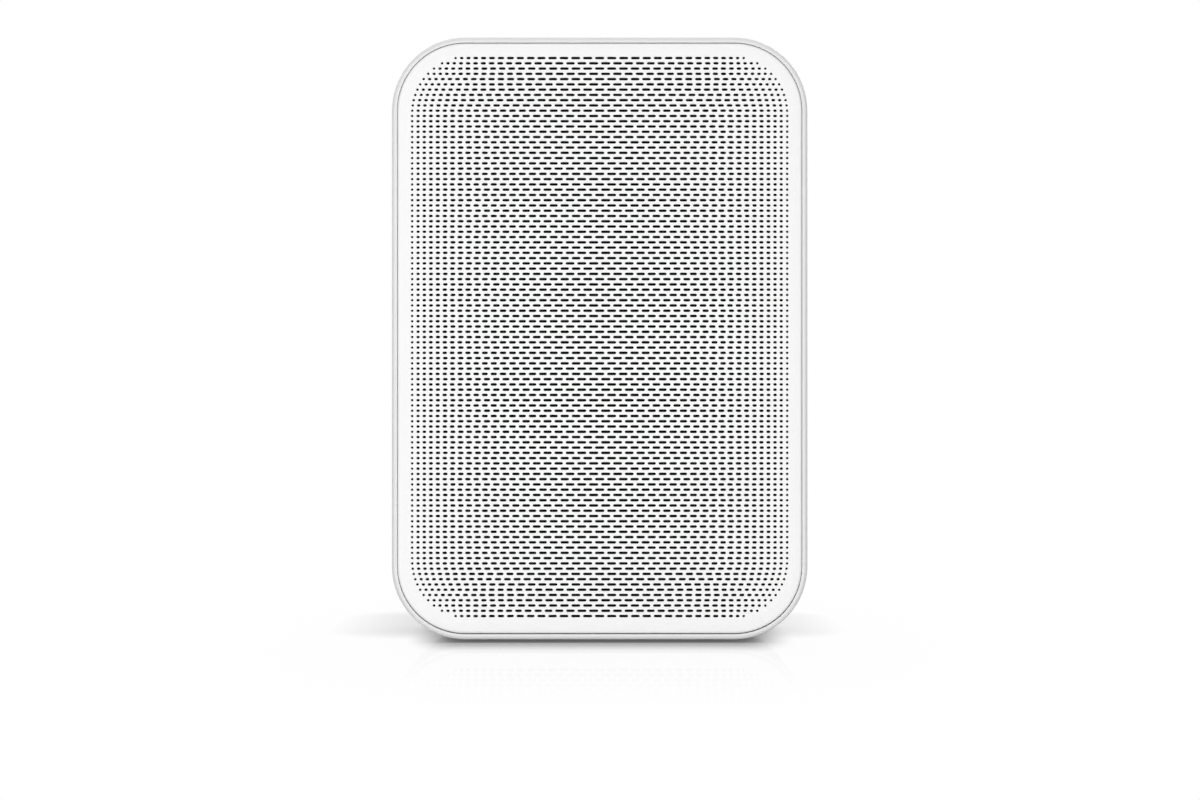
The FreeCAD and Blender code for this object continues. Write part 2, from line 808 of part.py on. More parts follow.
def make_woofer_surround():
    """A half roll with a flat land each side, glued to the frame and to the cone's edge."""
    inner_roll = S.roll_radius - S.roll_sheet
    rise = root(S.roll_radius * S.roll_radius - S.roll_sheet * S.roll_sheet)
    return at_woofer(turned(
        "woofer_surround",
        (land_outer, 0), (land_outer, S.roll_sheet), (roll_centre + rise, S.roll_sheet), Arc(roll_centre, 0),
        (roll_centre - rise, S.roll_sheet), (cone_radius - S.roll_land, S.roll_sheet),
        (cone_radius - S.roll_land, 0), (roll_centre - inner_roll, 0), Arc(roll_centre, 0, clockwise=True),
        (roll_centre + inner_roll, 0),
    ))


def make_woofer_cone():
    return at_woofer(turned(
        "woofer_cone",
        (cone_radius, 0), (cone_radius - S.roll_land, 0), (neck_inner, S.cone_sheet - cone_depth),
        (neck_inner, -cone_depth), (cone_radius - S.roll_land, -S.cone_sheet), (cone_radius, -S.cone_sheet),
    ))


def make_dust_cap():
    """A spherical cap whose rim stands on the cone's straight wall."""
    slope = (cone_depth - S.cone_sheet) / (cone_radius - S.roll_land - neck_inner)
    rim = (S.cap_radius - neck_inner) * slope - cone_depth + S.cone_sheet + S.glue_gap
    ball = (S.cap_radius * S.cap_radius + S.cap_rise * S.cap_rise) / (2 * S.cap_rise)
    centre = rim + S.cap_rise - ball
    hollow = ball - S.cap_sheet
    lip = root(hollow * hollow - (rim - centre) * (rim - centre))
    return at_woofer(turned(
        "woofer_dust_cap",
        (0, centre + ball), (0, centre + hollow), Arc(0, centre, clockwise=True),
        (lip, rim), (S.cap_radius, rim), Arc(0, centre),
    ))


def make_woofer_coil():
    """The former tube with the winding round its rear end."""
    winding_front = coil_end + S.winding_length
    return at_woofer(turned(
        "woofer_voice_coil",
        (S.former_radius, coil_top), (S.former_radius, coil_end), (winding_outer, coil_end),
        (winding_outer, winding_front), (former_outer, winding_front), (former_outer, coil_top),
    ))


def make_spider():
    """A corrugated disc from the former to the frame's shelf."""
    outer = shelf_radius - S.basket_wall - S.fit_gap
    land = neck_radius - S.basket_wall
    step = (land - neck_inner) / (2 * SPIDER_WAVES + 1)
    seat = -shelf_depth
    upper = [(outer, seat + S.spider_sheet), (land, seat + S.spider_sheet)]
    lower = [(outer, seat), (land, seat)]
    for number in range(1, 2 * SPIDER_WAVES + 1):
        lift = S.spider_wave if number % 2 else Size.of(0)
        upper.append((land - number * step, seat + S.spider_sheet + lift))
        lower.append((land - number * step, seat + lift))
    upper.append((neck_inner, seat + S.spider_sheet))
    lower.append((neck_inner, seat))
    return at_woofer(turned("woofer_spider", *upper, *reversed(lower)))


def tube(label, inner, outer, back, length):
    return turned(
        label, (inner, back), (outer, back), (outer, back + length), (inner, back + length),
    )


def make_woofer_yoke():
    """The back plate and pole in one, with a vent along its axis."""
    back = magnet_back - S.yoke_thickness
    return at_woofer(turned(
        "woofer_yoke",
        (S.yoke_vent, back), (S.yoke_radius, back), (S.yoke_radius, magnet_back), (pole_radius, magnet_back),
        (pole_radius, -basket_depth), (S.yoke_vent, -basket_depth),
    ))


def make_woofer():
    bore = winding_outer + S.air_gap
    return [
        make_woofer_frame(), make_woofer_gasket(), make_woofer_surround(), make_woofer_cone(),
        make_dust_cap(), make_woofer_coil(), make_spider(), make_woofer_yoke(),
        at_woofer(tube("woofer_top_plate", bore, S.yoke_radius, plate_back, S.top_plate_thickness)),
        at_woofer(tube("woofer_magnet", S.magnet_bore, S.magnet_radius, magnet_back, S.magnet_thickness)),
        screws("woofer_screws", woofer_screw_places, woofer_front, S.screw_length),
    ]


# Tweeter, drawn about its axis with its faceplate's face at zero
tweeter_screw_places = ring_places(TWEETER_SCREW_PLACES, tweeter_screw_circle, tweeter_height, math.pi / 2)
clamp = -S.tweeter_flange - S.collar_depth
dome_former = dome_radius - S.dome_winding - S.dome_sheet
dome_coil_bore = dome_former - S.dome_coil_wall
dome_plate_radius = dome_coil_bore - S.dome_air_gap
cup_bore = dome_former + S.dome_winding + S.dome_air_gap
cup_rim = clamp - S.dome_sheet
cup_radius = throat_radius + S.cup_land
dome_plate_front = cup_rim - S.dome_plate_sink
dome_magnet_front = dome_plate_front - S.dome_plate
cup_inside = dome_magnet_front - S.dome_magnet


def at_tweeter(body):
    place(body, 0.0, tweeter_height, baffle_front)
    return body


def make_faceplate():
    """A round plate with a short flared horn and a collar behind it."""
    body = turned(
        "tweeter_faceplate",
        (tweeter_radius, 0), (mouth_radius, 0), (throat_radius, -S.tweeter_flange),
        (throat_radius, clamp), (collar_radius, clamp), (collar_radius, -S.tweeter_flange),
        (tweeter_radius, -S.tweeter_flange),
    )
    hole = Drawing(body, "faceplate_hole").circle(shank_hole, 0.0, tweeter_screw_circle)
    repeat(body, pocket(body, hole, S.tweeter_flange), hole, TWEETER_SCREW_PLACES)
    return at_tweeter(body)


def make_dome():
    """A thin spherical cap."""
    ball = (dome_radius * dome_radius + S.dome_rise * S.dome_rise) / (2 * S.dome_rise)
    centre = clamp + S.dome_rise - ball
    hollow = ball - S.dome_sheet
    lip = root(hollow * hollow - (clamp - centre) * (clamp - centre))
    return at_tweeter(turned(
        "tweeter_dome",
        (0, centre + ball), (0, centre + hollow), Arc(0, centre, clockwise=True),
        (lip, clamp), (dome_radius, clamp), Arc(0, centre),
    ))


def make_tweeter_surround():
    """A small half roll whose outer land is held between the collar and the motor cup."""
    roll = (throat_radius - dome_radius) / 2
    centre = (throat_radius + dome_radius) / 2
    hollow = roll - S.dome_sheet
    rise = root(roll * roll - S.dome_sheet * S.dome_sheet)
    back = clamp - S.dome_sheet
    return at_tweeter(turned(
        "tweeter_surround",
        (cup_radius, back), (cup_radius, clamp), (centre + rise, clamp), Arc(centre, back),
        (centre - rise, clamp), (dome_coil_bore, clamp), (dome_coil_bore, back), (centre - hollow, back),
        Arc(centre, back, clockwise=True), (centre + hollow, back),
    ))


def make_tweeter():
    former_front = clamp - S.dome_sheet
    former_back = former_front - S.dome_coil_length
    plate = turned(
        "tweeter_top_plate",
        (0, dome_magnet_front), (dome_plate_radius, dome_magnet_front),
        (dome_plate_radius, dome_plate_front), (0, dome_plate_front),
    )
    magnet_radius = dome_plate_radius - S.dome_magnet_inset
    magnet = turned(
        "tweeter_magnet",
        (0, cup_inside), (magnet_radius, cup_inside),
        (magnet_radius, dome_magnet_front), (0, dome_magnet_front),
    )
    cup = turned(
        "tweeter_yoke",
        (0, cup_inside - S.cup_floor), (cup_radius, cup_inside - S.cup_floor), (cup_radius, cup_rim),
        (cup_bore, cup_rim), (cup_bore, cup_inside), (0, cup_inside),
    )
    winding_front = (former_front + former_back) / 2
    winding_radius = dome_former + S.dome_winding
    coil = turned(
        "tweeter_voice_coil",
        (dome_coil_bore, former_front), (dome_coil_bore, former_back), (winding_radius, former_back),
        (winding_radius, winding_front), (dome_former, winding_front), (dome_former, former_front),
    )
    pieces = [make_faceplate(), make_dome(), make_tweeter_surround()]
    pieces += [at_tweeter(body) for body in (plate, magnet, cup, coil)]
    pieces.append(screws("tweeter_screws", tweeter_screw_places, baffle_front, S.screw_length))
    return pieces


# Rear cover, port and connectors
standoff_places = [
    (side * (board_x + across * (board_width / 2 - S.standoff_inset)), height)
    for side in (-1, 1)
    for across in (-1, 1)
    for height in (board_low + S.standoff_inset, board_low + board_height - S.standoff_inset)
]
inlet_x = S.bay_width / 2 - S.socket_side - S.inlet_width / 2
network_x = -(S.bay_width / 2 - S.socket_side - S.network_width / 2)
usb_x = network_x + (S.network_width + S.usb_width) / 2 + S.socket_spacing
audio_x = usb_x + (S.usb_width + S.audio_width) / 2 + S.socket_spacing
pin_places = [(inlet_x + side * S.pin_spacing / 2, bay_middle) for side in (-1, 1)]
socket_low = bay_middle - S.network_height / 2
sockets = [
    (network_x, S.network_width, S.network_height),
    (usb_x, S.usb_width, S.usb_height),
    (audio_x, S.audio_width, S.audio_height),
]


def make_rear_cover():
    body = make_body("rear_cover")
    plate = Drawing(body, "cover_plate", offset=rear).cabinet_outline(S.rim_width + S.grille_gap)
    pad(body, plate, S.cover_thickness)
    walls = Drawing(body, "bay_walls", offset=cover_front)
    walls.rectangle(
        S.bay_width + 2 * S.bay_wall, S.bay_height + 2 * S.bay_wall,
        S.bay_corner + S.bay_wall, 0.0, bay_middle,
    )
    pad(body, walls, bay_inside - cover_front)
    boss = Drawing(body, "insert_boss", offset=cover_front)
    pad(body, boss.circle(S.insert_radius + S.boss_wall, 0.0, insert_height), S.insert_length)
    posts = Drawing(body, "standoffs", offset=cover_front)
    pad(body, posts.circles(S.standoff_radius, standoff_places), S.standoff_height)
    bay = Drawing(body, "bay", offset=bay_floor)
    pocket(body, bay.rectangle(S.bay_width, S.bay_height, S.bay_corner, 0.0, bay_middle), S.bay_depth)
    cuts = Drawing(body, "socket_cuts", offset=bay_inside)
    for x, width, height in sockets:
        cuts.rectangle(width + 2 * S.fit_gap, height + 2 * S.fit_gap, None, x, socket_low + height / 2)
    cuts.rectangle(S.inlet_width + 2 * S.fit_gap, S.inlet_height + 2 * S.fit_gap, None, inlet_x, bay_middle)
    pocket(body, cuts, S.bay_wall)
    port = Drawing(body, "port_hole", offset=cover_front)
    port.circle(S.port_radius + S.port_flare + S.fit_gap, 0.0, port_height)
    pocket(body, port, S.cover_thickness)
    lip = Drawing(body, "port_lip", offset=rear + S.port_wall)
    lip.circle(S.port_radius + S.port_flare + S.port_lip + S.fit_gap, 0.0, port_height)
    pocket(body, lip, S.port_wall)
    seat = Drawing(body, "insert_seat", offset=rear + S.insert_length)
    pocket(body, seat.circle(S.insert_radius + S.glue_gap, 0.0, insert_height), S.insert_length)
    heads = Drawing(body, "screw_heads", offset=rear + S.head_sink)
    pocket(body, heads.circles(S.screw_head_radius + S.shank_gap, post_places), S.head_sink)
    shanks = Drawing(body, "screw_shanks", offset=cover_front)
    pocket(body, shanks.circles(shank_hole, post_places), S.cover_thickness)
    pilots = Drawing(body, "standoff_pilots", offset=board_back)
    pocket(body, pilots.circles(pilot_radius, standoff_places), S.standoff_height)
    place(body)
    return body


def make_port():
    """A flared tube through the rear cover, with a lip let into its face."""
    mouth = S.port_radius + S.port_flare
    outer = S.port_radius + S.port_wall
    body = turned(
        "bass_port",
        (mouth, 0), Arc(mouth, S.port_flare, clockwise=True), (S.port_radius, S.port_flare),
        (S.port_radius, S.port_length), (outer, S.port_length), (outer, S.port_flare),
        Arc(mouth, S.port_flare), (mouth, S.port_wall),
        (mouth + S.port_lip, S.port_wall), (mouth + S.port_lip, 0),
    )
    place(body, 0.0, port_height, rear)
    return body


def make_insert():
    body = tube("wall_mount_insert", S.insert_bore, S.insert_radius, Size.of(0), S.insert_length)
    place(body, 0.0, insert_height, rear)
    return body


def make_inlet():
    """A panel inlet: a flange on the bay's floor, a body through it and an oblong cavity."""
    body = make_body("mains_inlet")
    shroud = Drawing(body, "inlet_body", offset=bay_floor)
    shroud.rectangle(S.inlet_width, S.inlet_height, None, inlet_x, bay_middle)
    pad(body, shroud, S.inlet_depth)
    rim = Drawing(body, "inlet_rim", offset=bay_floor - S.inlet_flange)
    rim.rectangle(
        S.inlet_width + 2 * S.inlet_flange, S.inlet_height + 2 * S.inlet_flange,
        S.inlet_flange, inlet_x, bay_middle,
    )
    pad(body, rim, S.inlet_flange)
    cavity = Drawing(body, "inlet_cavity", offset=bay_floor - S.inlet_flange + S.inlet_cavity_depth)
    end = S.inlet_cavity_height / 2
    straight = S.inlet_cavity_width / 2 - end
    cavity.outline(
        (inlet_x - straight, bay_middle - end), (inlet_x + straight, bay_middle - end),
        Arc(inlet_x + straight, bay_middle),
        (inlet_x + straight, bay_middle + end), (inlet_x - straight, bay_middle + end),
        Arc(inlet_x - straight, bay_middle),
    )
    pocket(body, cavity, S.inlet_cavity_depth)
    holes = Drawing(body, "pin_holes", offset=bay_floor + S.inlet_depth)
    pocket(body, holes.circles(S.pin_radius + S.glue_gap, pin_places), S.inlet_depth)
    place(body)
    return body


def make_pins():
    back = bay_floor - S.inlet_flange + S.pin_sink
    length = S.inlet_depth + S.inlet_flange - S.pin_sink + S.pin_tag
    pins = [rod("pin", S.pin_radius, length, x, height, back) for x, height in pin_places]
    return group("mains_pins", pins)


def make_network_socket():
    """A modular socket with its latch notch on the lower side."""
    low = socket_low
    body = block(
        "network_socket", S.network_width, S.network_height, S.network_depth, network_x, low, bay_floor,
    )
    cavity = Drawing(body, "network_cavity", offset=bay_floor + S.socket_cavity)
    left = network_x - S.network_width / 2 + S.network_wall
    right = network_x + S.network_width / 2 - S.network_wall
    latch_left = network_x - S.network_latch / 2
    latch_right = network_x + S.network_latch / 2
    notch = low + S.network_wall
    floor = low + 2 * S.network_wall
    roof = low + S.network_height - S.network_wall
    cavity.outline(
        (left, roof), (left, floor), (latch_left, floor), (latch_left, notch),
        (latch_right, notch), (latch_right, floor), (right, floor), (right, roof),
    )
    pocket(body, cavity, S.socket_cavity)
    return body


def make_usb_socket():
    """A folded shell round a tongue that stands from its back wall."""
    body = block("usb_socket", S.usb_width, S.usb_height, S.usb_depth, usb_x, socket_low, bay_floor)
    cavity = Drawing(body, "usb_cavity", offset=bay_floor + S.socket_cavity)
    left = usb_x - S.usb_width / 2 + S.usb_wall
    right = usb_x + S.usb_width / 2 - S.usb_wall
    floor = socket_low + S.usb_wall
    roof = socket_low + S.usb_height - S.usb_wall
    cavity.outline((left, floor), (right, floor), (right, roof), (left, roof))
    pocket(body, cavity, S.socket_cavity)
    tongue = Drawing(body, "usb_tongue", offset=bay_floor + S.usb_wall)
    tongue.rectangle(
        S.usb_width - 4 * S.usb_wall, S.usb_tongue, None, usb_x, roof - S.usb_wall - S.usb_tongue / 2,
    )
    pad(body, tongue, S.socket_cavity)
    return body


def make_audio_socket():
    body = block("audio_socket", S.audio_width, S.audio_height, S.audio_depth, audio_x, socket_low, bay_floor)
    bore = Drawing(body, "audio_bore", offset=bay_floor + S.socket_cavity)
    pocket(body, bore.circle(S.audio_bore, audio_x, socket_low + S.audio_height / 2), S.socket_cavity)
    return body


# Boards and what they carry
def make_board(label, side):
    body = make_body(label)
    face = Drawing(body, f"{label}_face", offset=board_back)
    face.rectangle(board_width, board_height, None, side * board_x, board_low + board_height / 2)
    face.circles(shank_hole, [spot for spot in standoff_places if side * spot[0].value > 0])
    pad(body, face, S.board_thickness)
    place(body)
    return body


def make_io_board():
    """The small board under the sockets, from the bay's wall to the depth of the deepest socket."""
    left = network_x - S.network_width / 2
    right = audio_x + S.audio_width / 2
    return block(
        "io_board", right - left, S.board_thickness, S.network_depth - S.bay_wall,
        (left + right) / 2, socket_low - S.board_thickness, bay_inside,
    )


# Components stand in rows up the boards, from the lowest row
component_low = board_low + 2 * S.component_gap
inductor_row = component_low + S.inductor_radius
sink_low = inductor_row + S.inductor_radius + S.component_gap
module_low = board_low + board_height - S.board_top_gap - S.module_height
sink_height = module_low - S.component_gap - sink_low
capacitor_row = component_low + S.capacitor_radius
transformer_low = capacitor_row + S.capacitor_radius + S.component_gap


def make_heat_sink():
    """A base plate with upright fins."""
    body = block("amp_heat_sink", S.sink_width, sink_height, S.sink_base, board_x, sink_low, board_front)
    comb = Drawing(body, "fins", offset=board_front + S.sink_base)
    step = (S.sink_width - S.fin_thickness) / (HEAT_SINK_FINS - 1)
    for number in range(HEAT_SINK_FINS):
        x = board_x - (S.sink_width - S.fin_thickness) / 2 + number * step
        comb.rectangle(S.fin_thickness, sink_height, None, x, sink_low + sink_height / 2)
    pad(body, comb, S.fin_depth)
    return body


def row(label, count, radius, depth, spacing, x, height):
    """Round components in a row along a board."""
    items = []
    for number in range(count):
        along = x + (number - (count - 1) / 2) * spacing
        items.append(rod(f"{label}_one", radius, depth, along, height, board_front))
    return group(label, items)


def make_electronics():
    return [
        make_board("main_board", 1), make_board("power_board", -1), make_io_board(), make_heat_sink(),
        block(
            "wireless_module", S.module_width, S.module_height, S.module_depth,
            board_x, module_low, board_front,
        ),
        block(
            "power_transformer", S.transformer_width, S.transformer_height, S.transformer_depth,
            -board_x, transformer_low, board_front,
        ),
        row(
            "amp_inductors", INDUCTORS, S.inductor_radius, S.inductor_depth, S.inductor_spacing,
            board_x, inductor_row,
        ),
        row(
            "power_capacitors", CAPACITORS, S.capacitor_radius, S.capacitor_depth, S.capacitor_spacing,
            -board_x, capacitor_row,
        ),
        screws("board_screws", standoff_places, board_front, S.screw_length),
    ]


def wall_pair(label, thickness, height, depth, low, forward):
    """A flat piece on the inside of each of the cabinet's side walls."""
    items = []
    for left in (-inner_side, inner_side - thickness):
        sheet = doc.addObject("Part::Box", f"{label}_one")
        bind(sheet, Length=thickness, Width=depth, Height=height)
        place(sheet, left, low, forward, FreeCAD.Rotation())
        items.append(sheet)
    return group(label, items)


def make_wall_pieces():
    foam_low = middle - S.foam_height / 2
    antenna_low = middle + S.foam_height / 2 - S.antenna_length
    antenna_front = rear_ledge + S.antenna_from_rear
    return [
        wall_pair(
            "damping_foam", S.foam_thickness, S.foam_height, S.foam_depth, foam_low, woofer_back - S.fit_gap,
        ),
        wall_pair(
            "antenna_strips", S.antenna_thickness, S.antenna_length, S.antenna_width,
            antenna_low, antenna_front,
        ),
    ]


def make_all():
    cover_seat = rear + S.head_sink
    return [
        make_cabinet(), make_baffle(), make_seal("baffle_seal", front_ledge), make_grille(), make_cloth(),
        make_seal("cover_seal", cover_front), make_rear_cover(), make_port(), make_insert(),
        make_feet(), make_touch_panel(), make_touch_board(), make_light_pipe(),
        make_inlet(), make_pins(), make_network_socket(), make_usb_socket(), make_audio_socket(),
        screws("baffle_screws", post_places, baffle_front, S.screw_length),
        screws("cover_screws", post_places, cover_seat, S.screw_length, forward=False),
        *make_woofer(), *make_tweeter(), *make_electronics(), *make_wall_pieces(),
    ]


pieces = make_all()
doc.recompute()
for item in doc.Objects:
    if {"Invalid", "Error"} & set(item.State):
        raise RuntimeError(f"{item.Label} failed: {item.State}")
for piece in pieces:
    if piece.Shape.isNull() or not piece.Shape.isValid():
        raise RuntimeError(f"{piece.Label} has no valid shape")
os.makedirs("parts", exist_ok=True)
for piece in pieces:
    piece.Shape.exportStep(f"parts/{piece.Label}.step")
    solids = len(piece.Shape.Solids)
    print(f"{piece.Label}: {solids} solid(s), {piece.Shape.Volume:.1f} mm3, {piece.Shape.BoundBox}")
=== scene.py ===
import json
import math

import bmesh
import bpy
import numpy as np
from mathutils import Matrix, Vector
from mathutils.geometry import delaunay_2d_cdt


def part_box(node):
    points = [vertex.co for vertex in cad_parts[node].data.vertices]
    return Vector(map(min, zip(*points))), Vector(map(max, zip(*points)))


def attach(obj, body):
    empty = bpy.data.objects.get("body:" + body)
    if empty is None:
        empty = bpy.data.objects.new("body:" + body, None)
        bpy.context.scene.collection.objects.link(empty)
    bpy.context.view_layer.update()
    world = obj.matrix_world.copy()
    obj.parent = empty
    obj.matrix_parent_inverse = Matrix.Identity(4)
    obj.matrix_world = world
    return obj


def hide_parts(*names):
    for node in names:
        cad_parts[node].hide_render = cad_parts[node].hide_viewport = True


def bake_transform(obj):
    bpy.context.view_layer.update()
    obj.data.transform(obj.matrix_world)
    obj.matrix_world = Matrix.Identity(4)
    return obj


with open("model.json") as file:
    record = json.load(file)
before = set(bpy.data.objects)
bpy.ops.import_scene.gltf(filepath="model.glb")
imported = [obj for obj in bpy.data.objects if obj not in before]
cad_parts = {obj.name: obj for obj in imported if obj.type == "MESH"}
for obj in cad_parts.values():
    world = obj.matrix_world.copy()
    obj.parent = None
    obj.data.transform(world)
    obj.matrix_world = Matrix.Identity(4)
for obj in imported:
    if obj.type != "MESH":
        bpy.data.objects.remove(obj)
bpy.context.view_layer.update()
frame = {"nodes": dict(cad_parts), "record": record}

MM = 0.001
SHARP_DEGREES = 35

# Grille and the outline of the cabinet
SLOT_ROWS = 107
ROW_PITCH = 1.582 * MM
CENTRE_PITCH = 3.636 * MM
END_PITCH_SHARE = 0.475
MEAN_PITCH = 2.55 * MM
EVEN_ROW_SHORT = 1.53
ODD_ROW_SHORT = 1.63
SLOT_HEIGHT = 0.8 * MM
SLOT_BRIDGE = 0.74 * MM
DOT_STRETCH = 0.06 * MM
PATTERN_INSET = 6.15 * MM
PATTERN_CORNER = 17.2 * MM
PATTERN_RISE = 0.42 * MM
GRILLE_EDGE = 0.8 * MM
SIDE_SPREAD = 0.2 * MM
END_SPREAD = 0.1 * MM
GRILLE_LIFT = 0.05 * MM
GRILLE_SHEET = 1.0 * MM
CABINET_CORNER = 22.0 * MM
CORNER_STEPS = 24


class Shell:
    """Nets of points gathered into one closed mesh: each square between neighbouring points is a face."""

    def __init__(self):
        self.points = []
        self.faces = []
        self.count = 0

    def add(self, points, faces):
        points = np.asarray(points, float).reshape(-1, 3)
        self.points.append(points)
        self.faces.extend((np.asarray(faces) + self.count).tolist())
        self.count += len(points)
        return self

    def net(self, points, round_rows=False, round_columns=False):
        """Faces between the rows and columns of points, joined round where a direction closes on itself."""
        rows, columns = points.shape[:2]
        index = np.arange(rows * columns).reshape(rows, columns)
        if round_rows:
            index = np.concatenate([index, index[:1]])
        if round_columns:
            index = np.concatenate([index, index[:, :1]], axis=1)
        squares = np.stack([index[:-1, :-1], index[:-1, 1:], index[1:, 1:], index[1:, :-1]], axis=-1)
        return self.add(points, squares.reshape(-1, 4))

    def piece(self, name, finish, slot, replaces=(), body="root"):
        """Join seams and poles, point the faces outwards and put the piece on a body, if one is named."""
        mesh = bpy.data.meshes.new(name)
        mesh.from_pydata(np.concatenate(self.points).tolist(), [], self.faces)
        work = bmesh.new()
        work.from_mesh(mesh)
        bmesh.ops.remove_doubles(work, verts=work.verts, dist=1e-6)
        bmesh.ops.dissolve_degenerate(work, dist=1e-7, edges=work.edges)
        bmesh.ops.recalc_face_normals(work, faces=work.faces)
        work.to_mesh(mesh)
        work.free()
        mesh.shade_smooth()
        mesh.set_sharp_from_angle(angle=math.radians(SHARP_DEGREES))
        mesh.materials.append(finish.material)
        item = bpy.data.objects.new(name, mesh)
        bpy.context.scene.collection.objects.link(item)
        if body:
            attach(item, body)
        if replaces:
            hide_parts(*replaces)
        return item


class Value:
    """A number in a finish; arithmetic on it adds Math nodes."""

    def __init__(self, finish, socket):
        self.finish = finish
        self.socket = socket

    def math(self, operation, *terms):
        return self.finish.node("ShaderNodeMath", {"operation": operation}, dict(enumerate(terms)))

    def __add__(self, other):
        return self.math("ADD", self, other)

    def __sub__(self, other):
        return self.math("SUBTRACT", self, other)

    def __rsub__(self, other):
        return self.math("SUBTRACT", other, self)

    def __mul__(self, other):
        return self.math("MULTIPLY", self, other)

    def __abs__(self):
        return self.math("ABSOLUTE", self)

    __radd__ = __add__
    __rmul__ = __mul__

    def larger(self, other):
        return self.math("MAXIMUM", self, other)

    def smaller(self, other):
        return self.math("MINIMUM", self, other)

    def sine(self):
        return self.math("SINE", self)

    def root(self):
        return self.math("SQRT", self)

    def rise(self, low, high):
        """0 below low, 1 above high and a smooth step between them; low above high turns it round."""
        return self.finish.node(
            "ShaderNodeMapRange", {"interpolation_type": "SMOOTHSTEP"},
            {"Value": self, "From Min": low, "From Max": high},
        )


class Network:
    """A tree of shader nodes."""

    def __init__(self, tree):
        self.tree = tree

    def node(self, kind, settings, inputs, output=0):
        item = self.tree.nodes.new(kind)
        for name, value in settings.items():
            setattr(item, name, value)
        for key, value in inputs.items():
            self.link(item.inputs[key], value)
        return Value(self, item.outputs[output])

    def link(self, socket, value):
        if isinstance(value, Value):
            self.tree.links.new(value.socket, socket)
        else:
            socket.default_value = value

    def show(self, output, value):
        """Make a shader the one that is seen."""
        self.link(self.tree.nodes[output].inputs["Surface"], value)

    def seen(self):
        """1 for rays from the camera, from gloss or through glass, and 0 for rays that carry light."""
        kinds = ("Is Camera Ray", "Is Glossy Ray", "Is Transmission Ray")
        camera, gloss, glass = [self.node("ShaderNodeLightPath", {}, {}, kind) for kind in kinds]
        return camera.larger(gloss).larger(glass)


class Finish(Network):
    """A material: a Principled shader and the nodes that feed it, all on Object coordinates."""

    def __init__(self, name, **constants):
        self.material = bpy.data.materials.new(name)
        self.material.use_nodes = True
        super().__init__(self.material.node_tree)
        self.shader = self.tree.nodes["Principled BSDF"]
        for socket, value in constants.items():
            self.feed(socket.replace("_", " "), value)

    def feed(self, socket, value):
        self.link(self.shader.inputs[socket], value)

    def place(self):
        return self.node("ShaderNodeTexCoord", {}, {}, "Object")

    def axes(self):
        """The place as three numbers."""
        place = self.place()
        return [self.node("ShaderNodeSeparateXYZ", {}, {"Vector": place}, axis) for axis in "XYZ"]

    def noise(self, size, detail=2.0, stretch=(1, 1, 1)):
        """Cloudy variation from 0 to 1 whose patches are about size metres across."""
        vector = self.node("ShaderNodeMapping", {}, {"Vector": self.place(), "Scale": stretch})
        return self.node(
            "ShaderNodeTexNoise", {}, {"Vector": vector, "Scale": 1 / size, "Detail": detail}, "Fac",
        )

    def blend(self, amount, low, high):
        """A colour between two colours."""
        return self.node(
            "ShaderNodeMix", {"data_type": "RGBA"}, {0: amount, 6: low, 7: high}, 2,
        )

    def bump(self, height, depth):
        """Relief of the given depth in metres."""
        self.feed("Normal", self.node("ShaderNodeBump", {}, {"Distance": depth, "Height": height}, "Normal"))


def grey(level, warmth=0.0):
    return (level * (1 + warmth), level, level * (1 - warmth), 1.0)


def moulding(name, low, high, rough, grain_size, grain_depth):
    """Moulded plastic: a fine spark-eroded grain and faint unevenness of colour and gloss."""
    finish = Finish(name)
    cloud = finish.noise(30 * MM, 3)
    grain = finish.noise(grain_size, 2)
    finish.feed("Base Color", finish.blend(cloud * 0.7 + grain * 0.3, low, high))
    finish.feed("Roughness", rough + 0.12 * (grain - 0.5) + 0.08 * (cloud - 0.5))
    finish.bump(grain, grain_depth)
    return finish


def metal(name, low, high, rough, stretch=(1, 1, 1)):
    """Bare metal with fine working marks along the direction that is stretched."""
    finish = Finish(name, Metallic=1.0)
    marks = finish.noise(0.3 * MM, 4, stretch)
    cloud = finish.noise(8 * MM, 2)
    finish.feed("Base Color", finish.blend(0.5 * marks + 0.5 * cloud, low, high))
    finish.feed("Roughness", rough + 0.16 * (marks - 0.5) + 0.1 * (cloud - 0.5))
    finish.bump(marks, 0.006 * MM)
    return finish


def weave(name, low, high, thread, depth):
    """Plain-weave cloth: two sets of threads that pass over and under each other in turn."""
    finish = Finish(name, Roughness=0.95, Specular_IOR_Level=0.15)
    x, _, z = finish.axes()
    turn = math.pi / thread
    warp = (x * turn).sine()
    weft = (z * turn).sine()
    over = 0.5 + 0.5 * (warp * weft)
    threads = abs(warp).larger(abs(weft))
    fuzz = finish.noise(0.15 * MM, 3)
    height = 0.55 * threads + 0.25 * over + 0.2 * fuzz
    finish.feed("Base Color", finish.blend(height, low, high))
    finish.bump(height, depth)
    return finish


def powder_coat(name, low, high, rough):
    """Powder coat: a soft orange-peel relief with fine grit on it."""
    finish = Finish(name)
    peel = finish.noise(0.9 * MM, 2)
    grit = finish.noise(0.12 * MM, 2)
    cloud = finish.noise(40 * MM, 2)
    finish.feed("Base Color", finish.blend(0.6 * cloud + 0.4 * peel, low, high))
    finish.feed("Roughness", rough + 0.1 * (peel - 0.5) + 0.08 * (grit - 0.5))
    finish.bump(0.7 * peel + 0.3 * grit, 0.014 * MM)
    return finish


def ridged(name, low, high, pitch, depth):
    """Wire or a thread that winds round an axis along Y: a ridge for each turn."""
    finish = Finish(name, Metallic=0.85)
    _, y, _ = finish.axes()
    ridge = abs((y * (math.pi / pitch)).sine())
    cloud = finish.noise(2 * MM, 2)
    finish.feed("Base Color", finish.blend(0.7 * ridge + 0.3 * cloud, low, high))
    finish.feed("Roughness", 0.42 - 0.15 * ridge)
    finish.bump(ridge, depth)
    return finish


